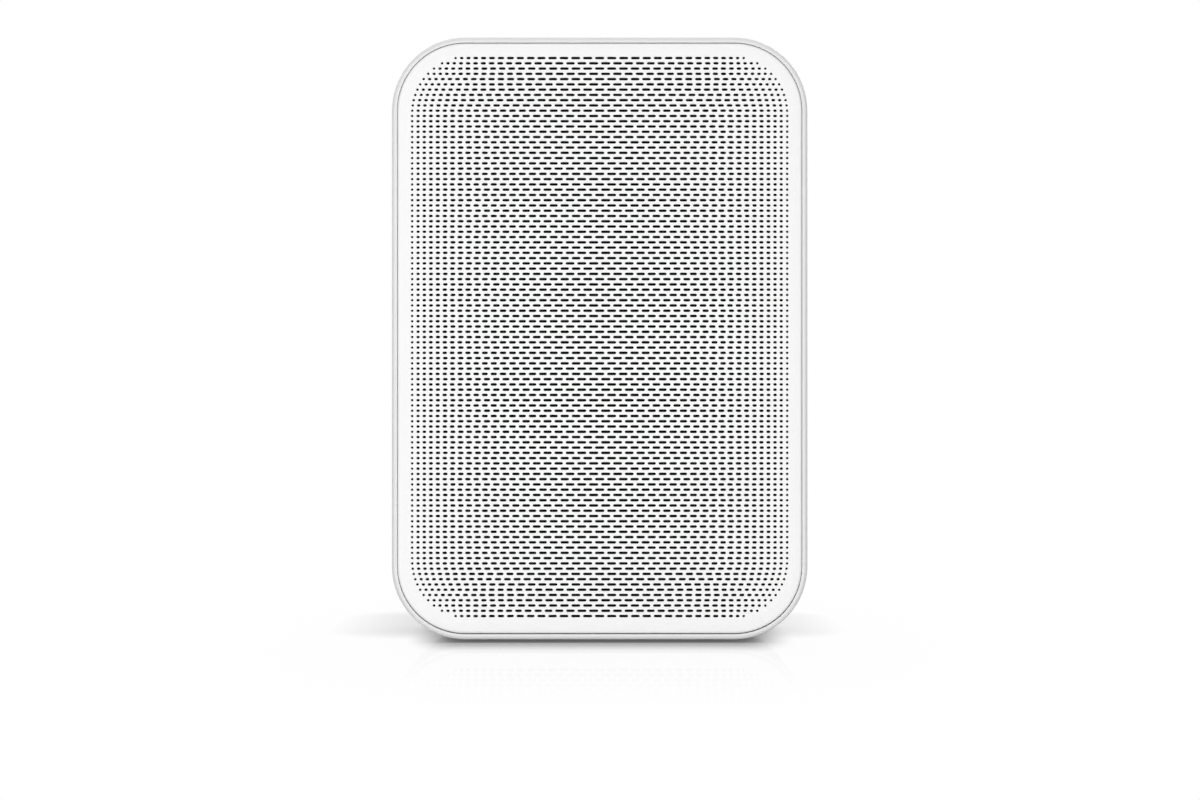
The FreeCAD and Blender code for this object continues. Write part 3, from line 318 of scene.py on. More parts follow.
def circuit(name, mask_low, mask_high):
    """Solder mask with copper tracks showing faintly through it and tinned pads."""
    finish = Finish(name)
    x, _, z = finish.axes()
    bend = finish.noise(9 * MM, 1)
    track = abs(((x + z * 0.5 + bend * 0.004) * (math.pi / (1.4 * MM))).sine()).rise(0.8, 0.9)
    pad_x = abs((x * (math.pi / (5.1 * MM))).sine()).rise(0.93, 0.96)
    pad_z = abs((z * (math.pi / (6.4 * MM))).sine()).rise(0.93, 0.96)
    pad = pad_x * pad_z
    cloud = finish.noise(12 * MM, 2)
    mask = finish.blend(0.6 * track + 0.4 * cloud, mask_low, mask_high)
    finish.feed("Base Color", finish.blend(pad, mask, (0.7, 0.69, 0.66, 1)))
    finish.feed("Metallic", 0.9 * pad)
    finish.feed("Roughness", 0.34 + 0.1 * cloud)
    finish.bump(track + pad, 0.02 * MM)
    return finish


def socket_shell(name, node, shell_low, shell_high, inside):
    """A socket whose outer face is one finish and whose hollow, from just behind the face, is black."""
    finish = Finish(name)
    _, y, _ = finish.axes()
    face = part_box(node)[1].y
    hollow = y.rise(face - 0.1 * MM, face - 0.3 * MM)
    brush = finish.noise(0.2 * MM, 3, (1, 1, 6))
    skin = finish.blend(brush, shell_low, shell_high)
    finish.feed("Base Color", finish.blend(hollow, skin, inside))
    finish.feed("Metallic", 1 - hollow)
    finish.feed("Roughness", 0.3 + 0.1 * brush + 0.15 * hollow)
    finish.bump(brush, 0.004 * MM)
    return finish


def touch_surface(name):
    """The touch strip: smooth pale plastic with printed play, softer and louder marks and a light dot."""
    finish = Finish(name, Specular_IOR_Level=0.35)
    x, y, _ = finish.axes()
    low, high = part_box("touch_panel")
    middle = (low.y + high.y) / 2
    y = y - middle
    edge = 0.06 * MM

    def bar(at_x, at_y, half_x, half_y):
        """Distance outside an upright bar, below zero within it."""
        return (abs(x - at_x) - half_x).larger(abs(y - at_y) - half_y)

    def triangle(at_x, half, length):
        """Distance outside a triangle that points along X, below zero within it."""
        run = x - at_x
        return (abs(y) + run * (half / length) - 0.5 * half).larger(0 - run - 0.5 * length)

    stroke = 0.22 * MM
    pillar, pillar_height = stroke * 1.3, 1.7 * MM
    side, arm = 26 * MM, 1.8 * MM
    play = triangle(-1.6 * MM, 1.9 * MM, 3.0 * MM)
    pause = bar(1.5 * MM, 0, pillar, pillar_height).smaller(bar(2.9 * MM, 0, pillar, pillar_height))
    softer = bar(-side, 0, arm, stroke)
    louder = bar(side, 0, arm, stroke).smaller(bar(side, 0, stroke, arm))
    marks = play.smaller(pause).smaller(softer).smaller(louder)
    ink = marks.rise(edge, -edge)
    pipe_low, pipe_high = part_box("light_pipe")
    dot_y = (pipe_low.y + pipe_high.y) / 2 - middle
    reach = (x * x + (y - dot_y) * (y - dot_y)).root()
    dot = reach.rise(0.75 * MM, 0.65 * MM)
    cloud = finish.noise(20 * MM, 2)
    smear = finish.noise(6 * MM, 3)
    skin = finish.blend(cloud, grey(0.70), grey(0.725))
    printed = finish.blend(ink, skin, grey(0.1))
    finish.feed("Base Color", finish.blend(dot, printed, (0.55, 0.57, 0.6, 1)))
    finish.feed("Roughness", 0.28 + 0.1 * smear + 0.1 * ink)
    finish.bump(ink * 0.5 + dot * 0.5, 0.01 * MM)
    return finish


# Finishes of the pieces
white_shell = moulding("white_shell", grey(0.70, 0.002), grey(0.725, 0.002), 0.42, 0.28 * MM, 0.012 * MM)
grille_paint = powder_coat("grille_paint", grey(0.865, 0.002), grey(0.885, 0.002), 0.5)
black_cloth = weave("black_cloth", grey(0.002), grey(0.01), 0.45 * MM, 0.08 * MM)
black_plastic = moulding("black_plastic", grey(0.018), grey(0.03), 0.48, 0.3 * MM, 0.015 * MM)
port_plastic = moulding("port_plastic", grey(0.014), grey(0.022), 0.4, 0.25 * MM, 0.01 * MM)
clear_pipe = Finish("clear_pipe", Roughness=0.12, Transmission_Weight=0.8, IOR=1.49)
clear_pipe.feed("Base Color", clear_pipe.blend(clear_pipe.noise(1 * MM), grey(0.8), grey(0.88)))
foot_rubber = moulding("foot_rubber", grey(0.035), grey(0.055), 0.8, 0.2 * MM, 0.02 * MM)
seal_foam = moulding("seal_foam", grey(0.035), grey(0.075), 0.95, 0.35 * MM, 0.1 * MM)
surround_rubber = moulding("surround_rubber", grey(0.02), grey(0.035), 0.55, 0.4 * MM, 0.01 * MM)
cone_weave = weave("cone_weave", grey(0.03), grey(0.09), 1.4 * MM, 0.05 * MM)
dome_metal = metal("dome_metal", grey(0.68), grey(0.8), 0.28)
basket_paint = powder_coat("basket_paint", grey(0.028), grey(0.042), 0.55)
plated_steel = metal("plated_steel", grey(0.55, 0.01), grey(0.68, 0.01), 0.36, (1, 8, 1))
black_steel = metal("black_steel", grey(0.035), grey(0.07), 0.5)
ferrite = moulding("ferrite", grey(0.08), grey(0.14), 0.7, 0.5 * MM, 0.03 * MM)
copper_coil = ridged("copper_coil", (0.5, 0.2, 0.09, 1), (0.8, 0.42, 0.24, 1), 0.35 * MM, 0.03 * MM)
damper_cloth = weave("damper_cloth", (0.36, 0.23, 0.09, 1), (0.6, 0.42, 0.2, 1), 0.6 * MM, 0.08 * MM)
board_green = circuit("board_green", (0.012, 0.09, 0.04, 1), (0.03, 0.17, 0.08, 1))
can_metal = metal("can_metal", grey(0.6), grey(0.75), 0.3, (1, 1, 6))
insert_brass = ridged("insert_brass", (0.6, 0.44, 0.2, 1), (0.84, 0.66, 0.34, 1), 1.27 * MM, 0.4 * MM)
pin_nickel = metal("pin_nickel", grey(0.55, 0.02), grey(0.68, 0.02), 0.3, (1, 6, 1))
contact_gold = metal("contact_gold", (0.62, 0.42, 0.15, 1), (0.78, 0.57, 0.25, 1), 0.24)
coil_black = moulding("coil_black", grey(0.03), grey(0.07), 0.6, 0.4 * MM, 0.03 * MM)
foam_grey = moulding("foam_grey", grey(0.05), grey(0.13), 0.97, 0.8 * MM, 0.3 * MM)
touch_gloss = touch_surface("touch_gloss")
network_shell = socket_shell("network_shell", "network_socket", grey(0.58), grey(0.72), grey(0.015))
usb_shell = socket_shell("usb_shell", "usb_socket", grey(0.58), grey(0.72), grey(0.02))

FINISHES = {
    "white_shell": white_shell, "grille_paint": grille_paint, "black_cloth": black_cloth,
    "black_plastic": black_plastic, "touch_gloss": touch_gloss, "clear_pipe": clear_pipe,
    "foot_rubber": foot_rubber, "seal_foam": seal_foam, "surround_rubber": surround_rubber,
    "cone_polymer": cone_weave, "dome_metal": dome_metal, "basket_paint": basket_paint,
    "plated_steel": plated_steel, "ferrite": ferrite, "copper_coil": copper_coil,
    "damper_cloth": damper_cloth, "board_green": board_green, "can_metal": can_metal,
    "insert_brass": insert_brass, "coil_black": coil_black, "foam_grey": foam_grey,
}
NODE_FINISHES = {
    "bass_port": port_plastic, "mains_pins": pin_nickel, "tweeter_yoke": black_steel,
    "network_socket": network_shell, "usb_socket": usb_shell,
}
for part in frame["record"]["subparts"]:
    node = part["node"]
    finish = NODE_FINISHES.get(node, FINISHES[part["material_slot"]])
    mesh = frame["nodes"][node].data
    mesh.materials.clear()
    mesh.materials.append(finish.material)


def rounded_outline(half_width, half_height, corner, middle):
    """Points round a rectangle whose corners are quarter circles: a corner's centre plus its radius turned."""
    turn = np.linspace(0, math.pi / 2, CORNER_STEPS + 1)
    angle = (turn[None] + np.arange(4)[:, None] * math.pi / 2)
    side_x = np.array([1, -1, -1, 1])[:, None]
    side_z = np.array([1, 1, -1, -1])[:, None]
    x = side_x * (half_width - corner) + corner * np.cos(angle)
    z = side_z * (half_height - corner) + corner * np.sin(angle) + middle
    return np.stack([x.ravel(), z.ravel()], axis=1)


def carried_round(profile, half_width, half_height, corner, middle):
    """A profile of inset and Y carried round a rounded rectangle, one row of points for each profile point."""
    rows = []
    for inset, y in profile:
        flat = rounded_outline(half_width - inset, half_height - inset, corner - inset, middle)
        rows.append(np.stack([flat[:, 0], np.full(len(flat), y), flat[:, 1]], axis=1))
    return np.stack(rows)


def turned(profile, centre_x, centre_z, steps):
    """A profile of radius and Y swept round an axis along Y: radius times cosine and sine of the angle."""
    angle = np.linspace(0, 2 * math.pi, steps, endpoint=False)
    radius = np.array([r for r, y in profile])[:, None]
    depth = np.array([y for r, y in profile])[:, None]
    return np.stack(
        [centre_x + radius * np.cos(angle), depth + 0 * angle, centre_z + radius * np.sin(angle)], axis=-1,
    )


def slot_pattern(half_width, half_height, corner):
    """Slots as x, height and length from the middle of the grille.

    In each row the pitch falls from the centre pitch to a share of it as a power of the distance along
    the row; the power is chosen so that the last slot, a dot, lies on the pattern's rounded outline.
    Alternate rows are moved by half a slot at the middle. The steps of a row are its reach over a mean
    pitch, less a small number for even and for odd rows, rounded.
    """
    row = np.arange(SLOT_ROWS)
    height = (row - (SLOT_ROWS - 1) / 2) * ROW_PITCH
    past = np.clip(np.abs(height) - (half_height - corner), 0, None)
    reach = half_width - corner + np.sqrt(corner**2 - past**2)
    shift = 0.5 * (row % 2)
    short = np.where(row % 2, ODD_ROW_SHORT, EVEN_ROW_SHORT)
    steps = (np.round(reach / MEAN_PITCH - short) + shift)[:, None]
    fall = 1 - END_PITCH_SHARE
    power = fall / (1 - reach[:, None] / (steps * CENTRE_PITCH)) - 1
    along = (np.arange(int(steps.max()) + 1)[None] + shift[:, None]) / steps
    x = steps * CENTRE_PITCH * (along - fall * along ** (power + 1) / (power + 1))
    pitch = CENTRE_PITCH * (1 - fall * np.clip(along, 0, 1) ** power)
    kept = along < 1 + 1e-9
    last = along > 1 - 1e-9
    dot = SLOT_HEIGHT + DOT_STRETCH
    length = np.where(last, dot, np.maximum(dot, pitch - SLOT_BRIDGE))
    height = height[:, None] + 0 * x
    twin = kept & (x > 0)
    return [
        np.concatenate([x[kept], -x[twin]]),
        np.concatenate([height[kept], height[twin]]),
        np.concatenate([length[kept], length[twin]]),
    ]


def slot_outlines(x, height, length, middle):
    """Eight points round each slot: two half circles of three sides, moved apart to its length."""
    angle = np.radians([-90, -30, 30, 90, 90, 150, 210, 270])
    side = np.repeat([0.5, -0.5], 4)
    radius = SLOT_HEIGHT / 2
    across = x[:, None] + side[None] * (length[:, None] - SLOT_HEIGHT) + radius * np.cos(angle)
    up = height[:, None] + radius * np.sin(angle) + middle
    return np.stack([across, up], axis=-1)


def ring_edges(index):
    """Pairs of neighbours round each row of indices."""
    return np.stack([index, np.roll(index, -1, axis=1)], axis=-1).reshape(-1, 2)


def make_grille():
    """A slotted steel tray: two faces with every slot cut through, a rounded edge and a return flange."""
    low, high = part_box("front_grille")
    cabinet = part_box("cabinet")[1]
    half_width = high.x + SIDE_SPREAD
    half_height = (high.z - low.z) / 2 + END_SPREAD
    middle = (high.z + low.z) / 2 + GRILLE_LIFT
    corner = CABINET_CORNER - (cabinet.x - half_width)
    inset = PATTERN_INSET - (cabinet.x - high.x)
    pattern = slot_pattern(high.x - inset, (high.z - low.z) / 2 - inset, PATTERN_CORNER)
    slots = slot_outlines(*pattern, (high.z + low.z) / 2 + PATTERN_RISE)
    rim = rounded_outline(half_width - GRILLE_EDGE, half_height - GRILLE_EDGE, corner - GRILLE_EDGE, middle)
    inner = rounded_outline(half_width - GRILLE_SHEET, half_height - GRILLE_SHEET, corner - GRILLE_SHEET, middle)
    flat = np.concatenate([rim, slots.reshape(-1, 2)])
    slot_index = np.arange(slots.shape[0] * 8).reshape(-1, 8) + len(rim)
    edges = np.concatenate([ring_edges(np.arange(len(rim))[None]), ring_edges(slot_index)])
    faces = np.array(delaunay_2d_cdt((flat / MM).tolist(), edges.tolist(), [], 1, 1e-7, False)[2])
    owner = np.where(faces < len(rim), -1 - faces, (faces - len(rim)) // 8)
    within_slot = (owner[:, 0] == owner[:, 1]) & (owner[:, 1] == owner[:, 2])
    faces = faces[~within_slot]
    back_flat = np.concatenate([inner, slots.reshape(-1, 2)])
    front_y = low.y
    back_y = low.y + GRILLE_SHEET
    front = np.stack([flat[:, 0], np.full(len(flat), front_y), flat[:, 1]], axis=1)
    back = np.stack([back_flat[:, 0], np.full(len(flat), back_y), back_flat[:, 1]], axis=1)
    side = ring_edges(slot_index)
    walls = np.stack([side[:, 0], side[:, 1], side[:, 1] + len(flat), side[:, 0] + len(flat)], axis=1)
    shell = Shell()
    shell.add(np.concatenate([front, back]), walls)
    shell.faces.extend(faces.tolist())
    shell.faces.extend((faces[:, ::-1] + len(flat)).tolist())
    bend = np.linspace(0, math.pi / 2, 7)
    edge = np.stack([GRILLE_EDGE * (1 - np.sin(bend)), front_y + GRILLE_EDGE * (1 - np.cos(bend))], axis=1)
    profile = np.concatenate([edge, [[0, high.y], [GRILLE_SHEET, high.y], [GRILLE_SHEET, back_y]]])
    shell.net(carried_round(profile, half_width, half_height, corner, middle), round_columns=True)
    shell.piece("grille_face", grille_paint, "grille_paint", ["front_grille"])


def make_cloth():
    """Acoustic cloth stretched flat behind the grille: a sheet whose rows follow the rounded outline."""
    low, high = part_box("grille_cloth")
    half_width = high.x
    half_height = (high.z - low.z) / 2
    middle = (high.z + low.z) / 2
    corner = CABINET_CORNER - (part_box("cabinet")[1].x - high.x)
    turn = np.linspace(-math.pi / 2, math.pi / 2, 81)
    up = half_height * np.sin(turn)
    past = np.clip(np.abs(up) - (half_height - corner), 0, corner)
    reach = half_width - corner + np.sqrt(corner**2 - past**2)
    across = np.linspace(-1, 1, 41)
    x = reach[:, None] * np.concatenate([across, across[::-1]])[None]
    y = np.repeat([low.y, high.y], 41)[None] + 0 * x
    y[[0, -1]] = (low.y + high.y) / 2
    z = (up + middle)[:, None] + 0 * x
    shell = Shell().net(np.stack([x, y, z], axis=-1), round_columns=True)
    cloth = shell.piece("grille_lining", black_cloth, "black_cloth", ["grille_cloth"])


# Screws
SCREW_HEAD = 2.6 * MM
SCREW_SHANK = 1.4 * MM
HEAD_HEIGHT = 1.8 * MM
CROWN_SHARE = 0.94
CROWN_FALL = 0.45 * MM
CROWN_EDGE = 0.6 * MM
DRIVE_RADIUS = 1.15 * MM
DRIVE_LOBE = 0.2 * MM
DRIVE_DEPTH = 1.1 * MM
DRIVE_TAPER = 0.95


def drive_screw(x, z, top, tip):
    """A pan-head screw with a six-lobed drive: each row is a ring whose radius may swing with the angle.

    The rows run from the middle of the drive's floor up its lobed wall, over the domed head, whose height
    falls as the square of the radius, and down the head's side and the shank to the tip. The head faces
    from the tip towards the top.
    """
    angle = np.linspace(0, 2 * math.pi, 48, endpoint=False)
    lobes = DRIVE_RADIUS + DRIVE_LOBE * np.cos(6 * angle)
    even = np.ones_like(angle)
    spread = np.linspace(0, 1, 7)[:, None]
    crown = lobes + (CROWN_SHARE * SCREW_HEAD - lobes) * spread
    radius = np.concatenate([
        [0 * even, DRIVE_TAPER * lobes], crown,
        [SCREW_HEAD * even, SCREW_HEAD * even, SCREW_SHANK * even, SCREW_SHANK * even, 0 * even],
    ])
    floor = DRIVE_DEPTH * even
    length = abs(top - tip) * even
    drop = np.concatenate([
        [floor, floor], CROWN_FALL * (crown / SCREW_HEAD) ** 2,
        [CROWN_EDGE * even, HEAD_HEIGHT * even, HEAD_HEIGHT * even, length, length],
    ])
    depth = top - np.sign(top - tip) * drop
    return np.stack([x + radius * np.cos(angle), depth, z + radius * np.sin(angle)], axis=-1)


def make_screws(node, facing, turns=(45, 135, 225, 315)):
    """The screws of one node: at the corners of its box, or on a circle at the turns, in degrees, from X."""
    low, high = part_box(node)
    middle = (low.z + high.z) / 2
    turn = np.radians(turns)
    if len(turn) == 4:
        x = (high.x - SCREW_HEAD) * np.sign(np.cos(turn))
        z = middle + ((high.z - low.z) / 2 - SCREW_HEAD) * np.sign(np.sin(turn))
    else:
        reach = (high.x - SCREW_HEAD) / np.cos(turn).max()
        x = reach * np.cos(turn)
        z = high.z - SCREW_HEAD - reach + reach * np.sin(turn)
    top, tip = (high.y, low.y) if facing > 0 else (low.y, high.y)
    shell = Shell()
    for place in zip(x, z):
        shell.net(drive_screw(*place, top, tip), round_columns=True)
    shell.piece(node.replace("screws", "screw_set"), plated_steel, "plated_steel", [node])


# Sockets
CONTACT_RADIUS = 0.2 * MM


def wire(path, radius):
    """A round wire along a path of points in Y and Z: circles square to the path, closed at both ends."""
    path = np.asarray(path, float)
    run = np.gradient(path, axis=0)
    run /= np.linalg.norm(run, axis=1)[:, None]
    angle = np.linspace(0, 2 * math.pi, 8, endpoint=False)
    girth = np.full(len(path), radius)
    rows = [0, *range(len(path)), len(path) - 1]
    path, run = path[rows], run[rows]
    girth = np.concatenate([[0], girth, [0]])[:, None]
    x = girth * np.cos(angle)
    lift = girth * np.sin(angle)
    return np.stack([x, path[:, :1] - run[:, 1:] * lift, path[:, 1:] + run[:, :1] * lift], axis=-1)


def make_contacts(name, node, depth, drop, count, pitch, widen):
    """Equal sprung contacts across a socket: a wire that drops with its depth, widened, at a pitch along X."""
    low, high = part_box(node)
    path = np.stack([high.y - depth, high.z - drop], axis=1)
    one = wire(path, CONTACT_RADIUS) * [widen, 1, 1]
    shell = Shell()
    for number in range(count):
        x = (low.x + high.x) / 2 + (number - (count - 1) / 2) * pitch
        shell.net(one + [x, 0, 0], round_columns=True)
    shell.piece(name, contact_gold, "insert_brass")


def make_network_contacts():
    """Eight round wires that slope down from the roof, as the square of the depth."""
    roof, gap, fall = 1.9 * MM, 0.2 * MM, 3.4 * MM
    start, run = 2.0 * MM, 8.0 * MM
    bend = np.linspace(0, 1, 9)
    make_contacts(
        "network_contacts", "network_socket", start + run * bend, roof + gap + fall * bend**2,
        count=8, pitch=1.02 * MM, widen=1,
    )


def make_usb_contacts():
    """Four flat springs under the tongue, bowed as half a sine wave."""
    tongue, gap, bow = 3.4 * MM, 0.1 * MM, 0.25 * MM
    start, run = 1.6 * MM, 7.0 * MM
    bend = np.linspace(0, 1, 7)
    make_contacts(
        "usb_contacts", "usb_socket", start + run * bend, tongue + gap + bow * np.sin(math.pi * bend),
        count=4, pitch=2.2 * MM, widen=2.2,
    )


def make_audio_ring():
    """The plated collar round the mouth of the audio socket."""
    low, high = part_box("audio_socket")
    face = high.y
    profile = [(r * MM, face + y * MM) for r, y in (
        (1.85, -1.0), (1.85, 0.35), (2.05, 0.5), (2.75, 0.5), (3.0, 0.3), (3.0, -0.05), (2.4, -0.05), (2.4, -1.0),
    )]
    rows = turned(profile, (low.x + high.x) / 2, (low.z + high.z) / 2, 48)
    shell = Shell().net(rows, round_rows=True, round_columns=True)
    shell.piece("audio_ring", pin_nickel, "can_metal")


def make_foam():
    """Two damping pads on the side walls with a waved inner face: a product of two cosines on a slab."""
    low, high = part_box("damping_foam")
    thick = 8.0 * MM
    wave = 1.6 * MM
    pitch_y, pitch_z = 8 * MM, 10 * MM
    y = np.linspace(low.y, high.y, 33)
    z = np.linspace(low.z, high.z, 71)
    across, up = np.meshgrid(y, z, indexing="ij")
    peak = np.cos((across - low.y) * 2 * math.pi / pitch_y) * np.cos((up - low.z) * 2 * math.pi / pitch_z)
    rise = thick - wave * (0.5 - 0.5 * peak)
    rise[[0, -1]] = 0
    rise[:, [0, -1]] = 0
    shell = Shell()
    for wall, inward in ((low.x, 1), (high.x, -1)):
        for depth in (rise, 0 * rise):
            shell.net(np.stack([wall + inward * depth, across, up], axis=-1))
    foam = shell.piece("foam_pads", foam_grey, "foam_grey", ["damping_foam"])


# Flexing rings of the two drive units
SECTORS = 16
SECTOR_STEPS = 8
WOOFER_ROLL = 3.6 * MM
WOOFER_SHEET = 0.7 * MM
WOOFER_LAND = 2.6 * MM
SPIDER_LAND = 29.0 * MM
SPIDER_BORE = 13.0 * MM
SPIDER_WAVES = 5
SPIDER_LIFT = 1.2 * MM
SPIDER_SHEET = 0.6 * MM
TWEETER_ROLL = 1.45 * MM
TWEETER_SHEET = 0.3 * MM
TWEETER_BORE = 9.2 * MM


def half_roll(outer, inner, centre, roll, sheet, seat):
    """The front and back of a ring with a half-round roll between two flat lands, as radius and Y.

    Over the roll the radius is the centre plus the roll times the cosine of an angle, and the height above
    the seat is the roll times its sine; the back does the same with a roll that is one sheet smaller.
    """
    lean = math.asin(sheet / roll)
    sides = []
    for reach, start, height in ((roll, lean, sheet), (roll - sheet, 0, 0)):
        turn = np.linspace(start, math.pi - start, 17)
        arc = np.stack([centre + reach * np.cos(turn), seat - reach * np.sin(turn)], axis=1)
        lands = [[outer, seat - height]], [[inner, seat - height]]
        sides.append(np.concatenate([lands[0], arc, lands[1]]))
    return sides


def waved_disc(outer, land, inner, waves, lift, sheet, seat):
    """The front and back of a ring pressed into round waves: the lift times half of one minus a cosine."""
    run = np.linspace(0, waves, 8 * waves + 1)
    radius = np.concatenate([[outer], land + (inner - land) * 2 * run / (2 * waves + 1), [inner]])
    height = np.concatenate([[0], lift * (1 - np.cos(2 * math.pi * run)) / 2, [0]])
    return [np.stack([radius, seat - height - thick], axis=1) for thick in (sheet, 0)]


def make_flexing_ring(node, finish, slot, frame_node, sides, held, free):
    """A ring of equal sectors, each a piece of its own about its own middle line.

    A sector's rows are the points of the profile turned through its angle along the front and back again
    along the back. Neighbours meet at the same angle to both middle lines.
    """
    low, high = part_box(frame_node)
    centre_z = (low.z + high.z) / 2
    ends = (sides[0] + sides[1]) / 2
    profile = np.stack([np.concatenate([ends[:1], side, ends[-1:]]) for side in sides], axis=1)
    radius, depth = np.repeat(profile, SECTOR_STEPS + 1, axis=1).transpose(2, 0, 1)
    half = math.pi / SECTORS
    for number in range(SECTORS):
        middle = (2 * number + 1) * half
        angle = middle + half * np.linspace(-1, 1, SECTOR_STEPS + 1)
        angle = np.concatenate([angle, angle[::-1]])
        rows = np.stack([radius * np.cos(angle), depth, centre_z + radius * np.sin(angle)], axis=-1)
        shell = Shell().net(rows, round_columns=True)
        piece = shell.piece(f"{node}_{number + 1}", finish, slot, [node], body=None)
        start, end = [
            (reach * math.cos(middle), sides[1][0, 1], centre_z + reach * math.sin(middle))
            for reach in (held * math.cos(half), free)
        ]
        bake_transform(piece)


def make_flexing_rings():
    """The rolls round both diaphragms and the waved disc that centres the large coil."""
    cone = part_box("woofer_cone")
    rim = cone[1].x
    held = rim + 2 * WOOFER_ROLL - WOOFER_SHEET
    sides = half_roll(
        held + WOOFER_LAND, rim - WOOFER_LAND, rim + WOOFER_ROLL, WOOFER_ROLL, WOOFER_SHEET, cone[0].y,
    )
    make_flexing_ring(
        "woofer_surround", surround_rubber, "surround_rubber", "woofer_frame",
        sides, held, rim + 0.3 * MM,
    )
    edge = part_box("woofer_spider")[1]
    sides = waved_disc(edge.x, SPIDER_LAND, SPIDER_BORE, SPIDER_WAVES, SPIDER_LIFT, SPIDER_SHEET, edge.y)
    make_flexing_ring(
        "woofer_spider", damper_cloth, "damper_cloth", "woofer_frame",
        sides, SPIDER_LAND, SPIDER_BORE + 0.3 * MM,
    )
    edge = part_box("tweeter_surround")[1]
    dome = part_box("tweeter_dome")[1].x
    sides = half_roll(edge.x, TWEETER_BORE, dome + TWEETER_ROLL, TWEETER_ROLL, TWEETER_SHEET, edge.y)
    make_flexing_ring(
        "tweeter_surround", surround_rubber, "surround_rubber", "tweeter_faceplate",
        sides, dome + 2 * TWEETER_ROLL, dome + 0.1 * MM,
    )


make_grille()
make_cloth()
make_screws("cover_screws", 1)
make_screws("baffle_screws", -1)
make_screws("woofer_screws", -1)
make_screws("tweeter_screws", -1, (90, 210, 330))
make_network_contacts()
make_usb_contacts()
make_audio_ring()
make_foam()
make_flexing_rings()

# Stage, light and camera
FLOOR_REACH = 6.0
FLOOR_GLOSS = 0.1
FLOOR_BOUNCE = 0.65
# FLOOR_NEAR, FLOOR_WHITE and the CONTACT numbers paint a grey pool of shade round the speaker for the camera; the
# WING numbers paint a faint shadow beside and behind it.
FLOOR_NEAR = 0.5
FLOOR_WHITE = 0.1
CONTACT_START = -10.0 * MM
CONTACT_REACH = 52.0 * MM
CONTACT_SIDE = 47.0 * MM
SIDE_SHARE = 4.0
WING_DEPTH = 0.5
WING_REACH = 37.0 * MM
WING_SIDE = 45.0 * MM
WING_SHIFT = -4.0 * MM
WING_BACK = 58.0 * MM
WING_RUN = 40.0 * MM
WING_SHARE = 0.75
GLOSS_REACH = 320.0 * MM
WORLD_LIGHT = 0.28
SPEAKER_MIDDLE = Vector((0, 0, 0.09))
VIEW_DISTANCE = 1.2
EYE_SIDE = 0.1 * MM
EYE_HEIGHT = 73.0 * MM
SENSOR_WIDTH = 36
PHOTO_PIXELS = 1200
PIXELS_PER_MM = 3.328


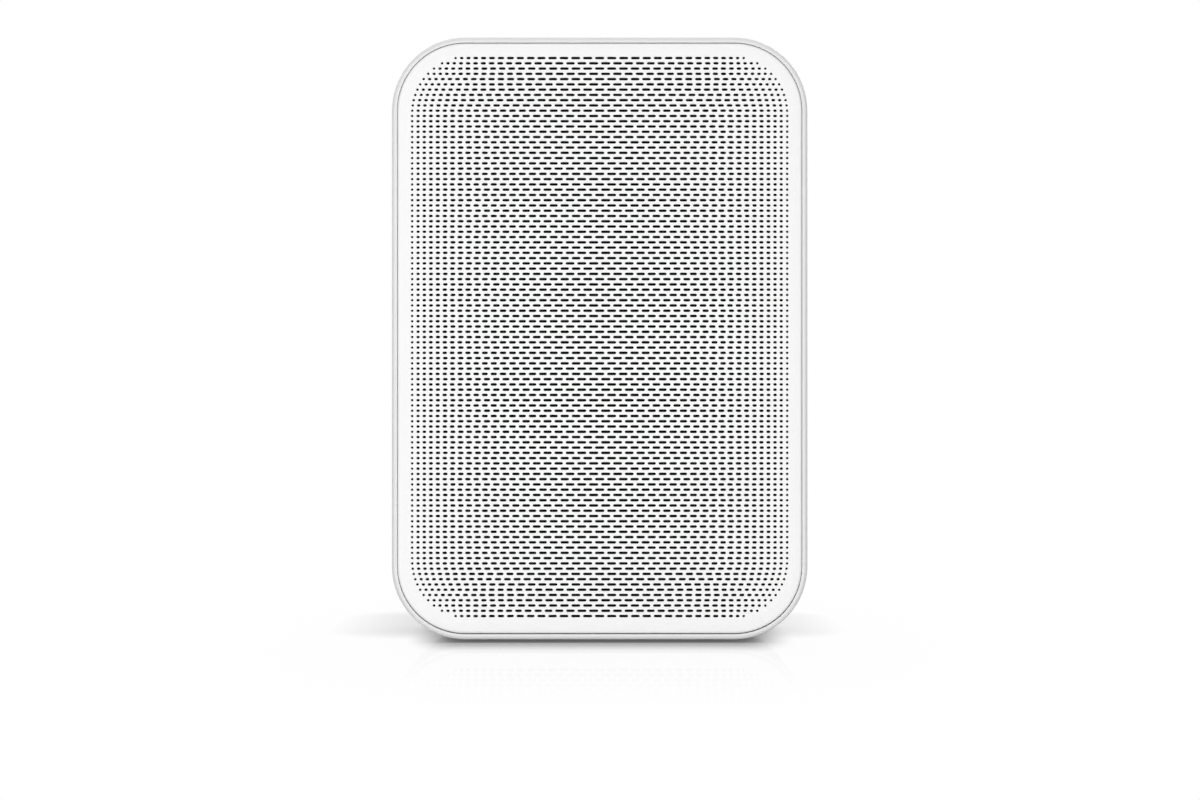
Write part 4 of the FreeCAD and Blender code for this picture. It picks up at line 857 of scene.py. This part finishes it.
def make_floor():
    """A pale, faintly glossy floor that is white further off, with painted shade round the speaker for the
    camera.

    The white is a share that grows with the distance outside a rounded rectangle below the speaker. Within it the
    camera sees a grey floor, darker than the one that passes light on, so the grey pool is painted shade with the
    real shadow showing in it. A second, wider rectangle, further back, takes some of the white away again: a
    faint painted shadow beside and behind.
    """
    mesh = bpy.data.meshes.new("floor")
    corners = FLOOR_REACH * np.array([[-1, -1, 0], [1, -1, 0], [1, 1, 0], [-1, 1, 0]])
    mesh.from_pydata(corners.tolist(), [], [[0, 1, 2, 3]])
    floor = bpy.data.objects.new("floor", mesh)
    bpy.context.scene.collection.objects.link(floor)
    paint = Finish("floor_white", Roughness=0.9, Specular_IOR_Level=0.0)
    mesh.materials.append(paint.material)
    seen = paint.seen()
    # The camera sees the floor darker (FLOOR_NEAR) than the light it passes on (FLOOR_BOUNCE): painted shade
    # where the white share is low.
    paint.feed("Base Color", paint.blend(seen, grey(FLOOR_BOUNCE), grey(FLOOR_NEAR)))
    x, y, _ = paint.axes()

    def outside(middle_x, half_x, share_x, middle_y, half_y, share_y):
        """Distance outside a rectangle, counted by a share along each axis."""
        past_x = (share_x * (abs(x - middle_x) - half_x)).larger(0)
        past_y = (share_y * (abs(y - middle_y) - half_y)).larger(0)
        return (past_x * past_x + past_y * past_y).root()

    half_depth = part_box("cabinet")[1].y - CABINET_CORNER
    # Painted shade: the white share is low under the speaker and grows with the distance outside it.
    past = outside(0, CONTACT_SIDE - CABINET_CORNER / SIDE_SHARE, SIDE_SHARE, 0, half_depth, 1)
    contact = (past - CABINET_CORNER).rise(CONTACT_START, CONTACT_REACH)
    # Painted shadow: a wider zone beside and behind the speaker takes white away from the floor.
    beside = outside(WING_SHIFT, WING_SIDE, 1, WING_BACK, WING_RUN, WING_SHARE)
    painted_wing_shadow = WING_DEPTH * (1 - beside * (1 / WING_REACH)).larger(0)
    # far is the share of white; where it is low, the floor shows painted shade.
    far = (FLOOR_WHITE + (1 - FLOOR_WHITE) * contact) * (1 - painted_wing_shadow)
    sheen = paint.node("ShaderNodeBsdfGlossy", {}, {"Roughness": 0.03})
    gloss = FLOOR_GLOSS * past.rise(GLOSS_REACH, 0)
    matt = Value(paint, paint.shader.outputs[0])
    white = paint.node("ShaderNodeEmission", {}, {"Strength": 1.0})
    pale = paint.node("ShaderNodeMixShader", {}, {0: far * seen, 1: matt, 2: white})
    paint.show("Material Output", paint.node("ShaderNodeMixShader", {}, {0: gloss, 1: pale, 2: sheen}))


def make_world():
    """White where it is seen, and an even pale light elsewhere."""
    world = bpy.data.worlds.new("studio")
    bpy.context.scene.world = world
    world.use_nodes = True
    sky = Network(world.node_tree)
    light = sky.node("ShaderNodeBackground", {}, {"Color": (1, 1, 1, 1), "Strength": WORLD_LIGHT})
    white = sky.node("ShaderNodeBackground", {}, {"Color": (1, 1, 1, 1), "Strength": 1.0})
    sky.show("World Output", sky.node("ShaderNodeMixShader", {}, {0: sky.seen(), 1: light, 2: white}))


def make_lamp(name, place, width, height, power):
    """A rectangular lamp that faces the middle of the speaker."""
    data = bpy.data.lights.new(name, "AREA")
    data.shape = "RECTANGLE"
    data.size = width
    data.size_y = height
    data.energy = power
    lamp = bpy.data.objects.new(name, data)
    lamp.location = place
    lamp.rotation_euler = (SPEAKER_MIDDLE - Vector(place)).to_track_quat("-Z", "Y").to_euler()
    bpy.context.scene.collection.objects.link(lamp)


make_floor()
make_world()
make_lamp("top_softbox", (0, 0.1, 3.6), width=3.1, height=3.1, power=46)
make_lamp("front_softbox", (-0.2, -1.9, 0.12), width=1.4, height=0.2, power=22.2)
make_lamp("left_rear_softbox", (-1.2, 1.5, 0.8), width=1.3, height=1.4, power=9)
make_lamp("right_rear_softbox", (1.2, 1.5, 0.8), width=1.3, height=1.4, power=9)

camera_data = bpy.data.cameras.new("camera")
camera_data.sensor_width = SENSOR_WIDTH
camera_data.sensor_fit = "HORIZONTAL"
camera_data.lens = VIEW_DISTANCE * SENSOR_WIDTH / (PHOTO_PIXELS / PIXELS_PER_MM * MM)
camera = bpy.data.objects.new("camera", camera_data)
camera.location = (EYE_SIDE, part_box("front_grille")[0].y - VIEW_DISTANCE, EYE_HEIGHT)
camera.rotation_euler = (math.pi / 2, 0, 0)
bpy.context.scene.collection.objects.link(camera)
bpy.context.scene.camera = camera
bpy.context.scene.view_settings.view_transform = "Standard"
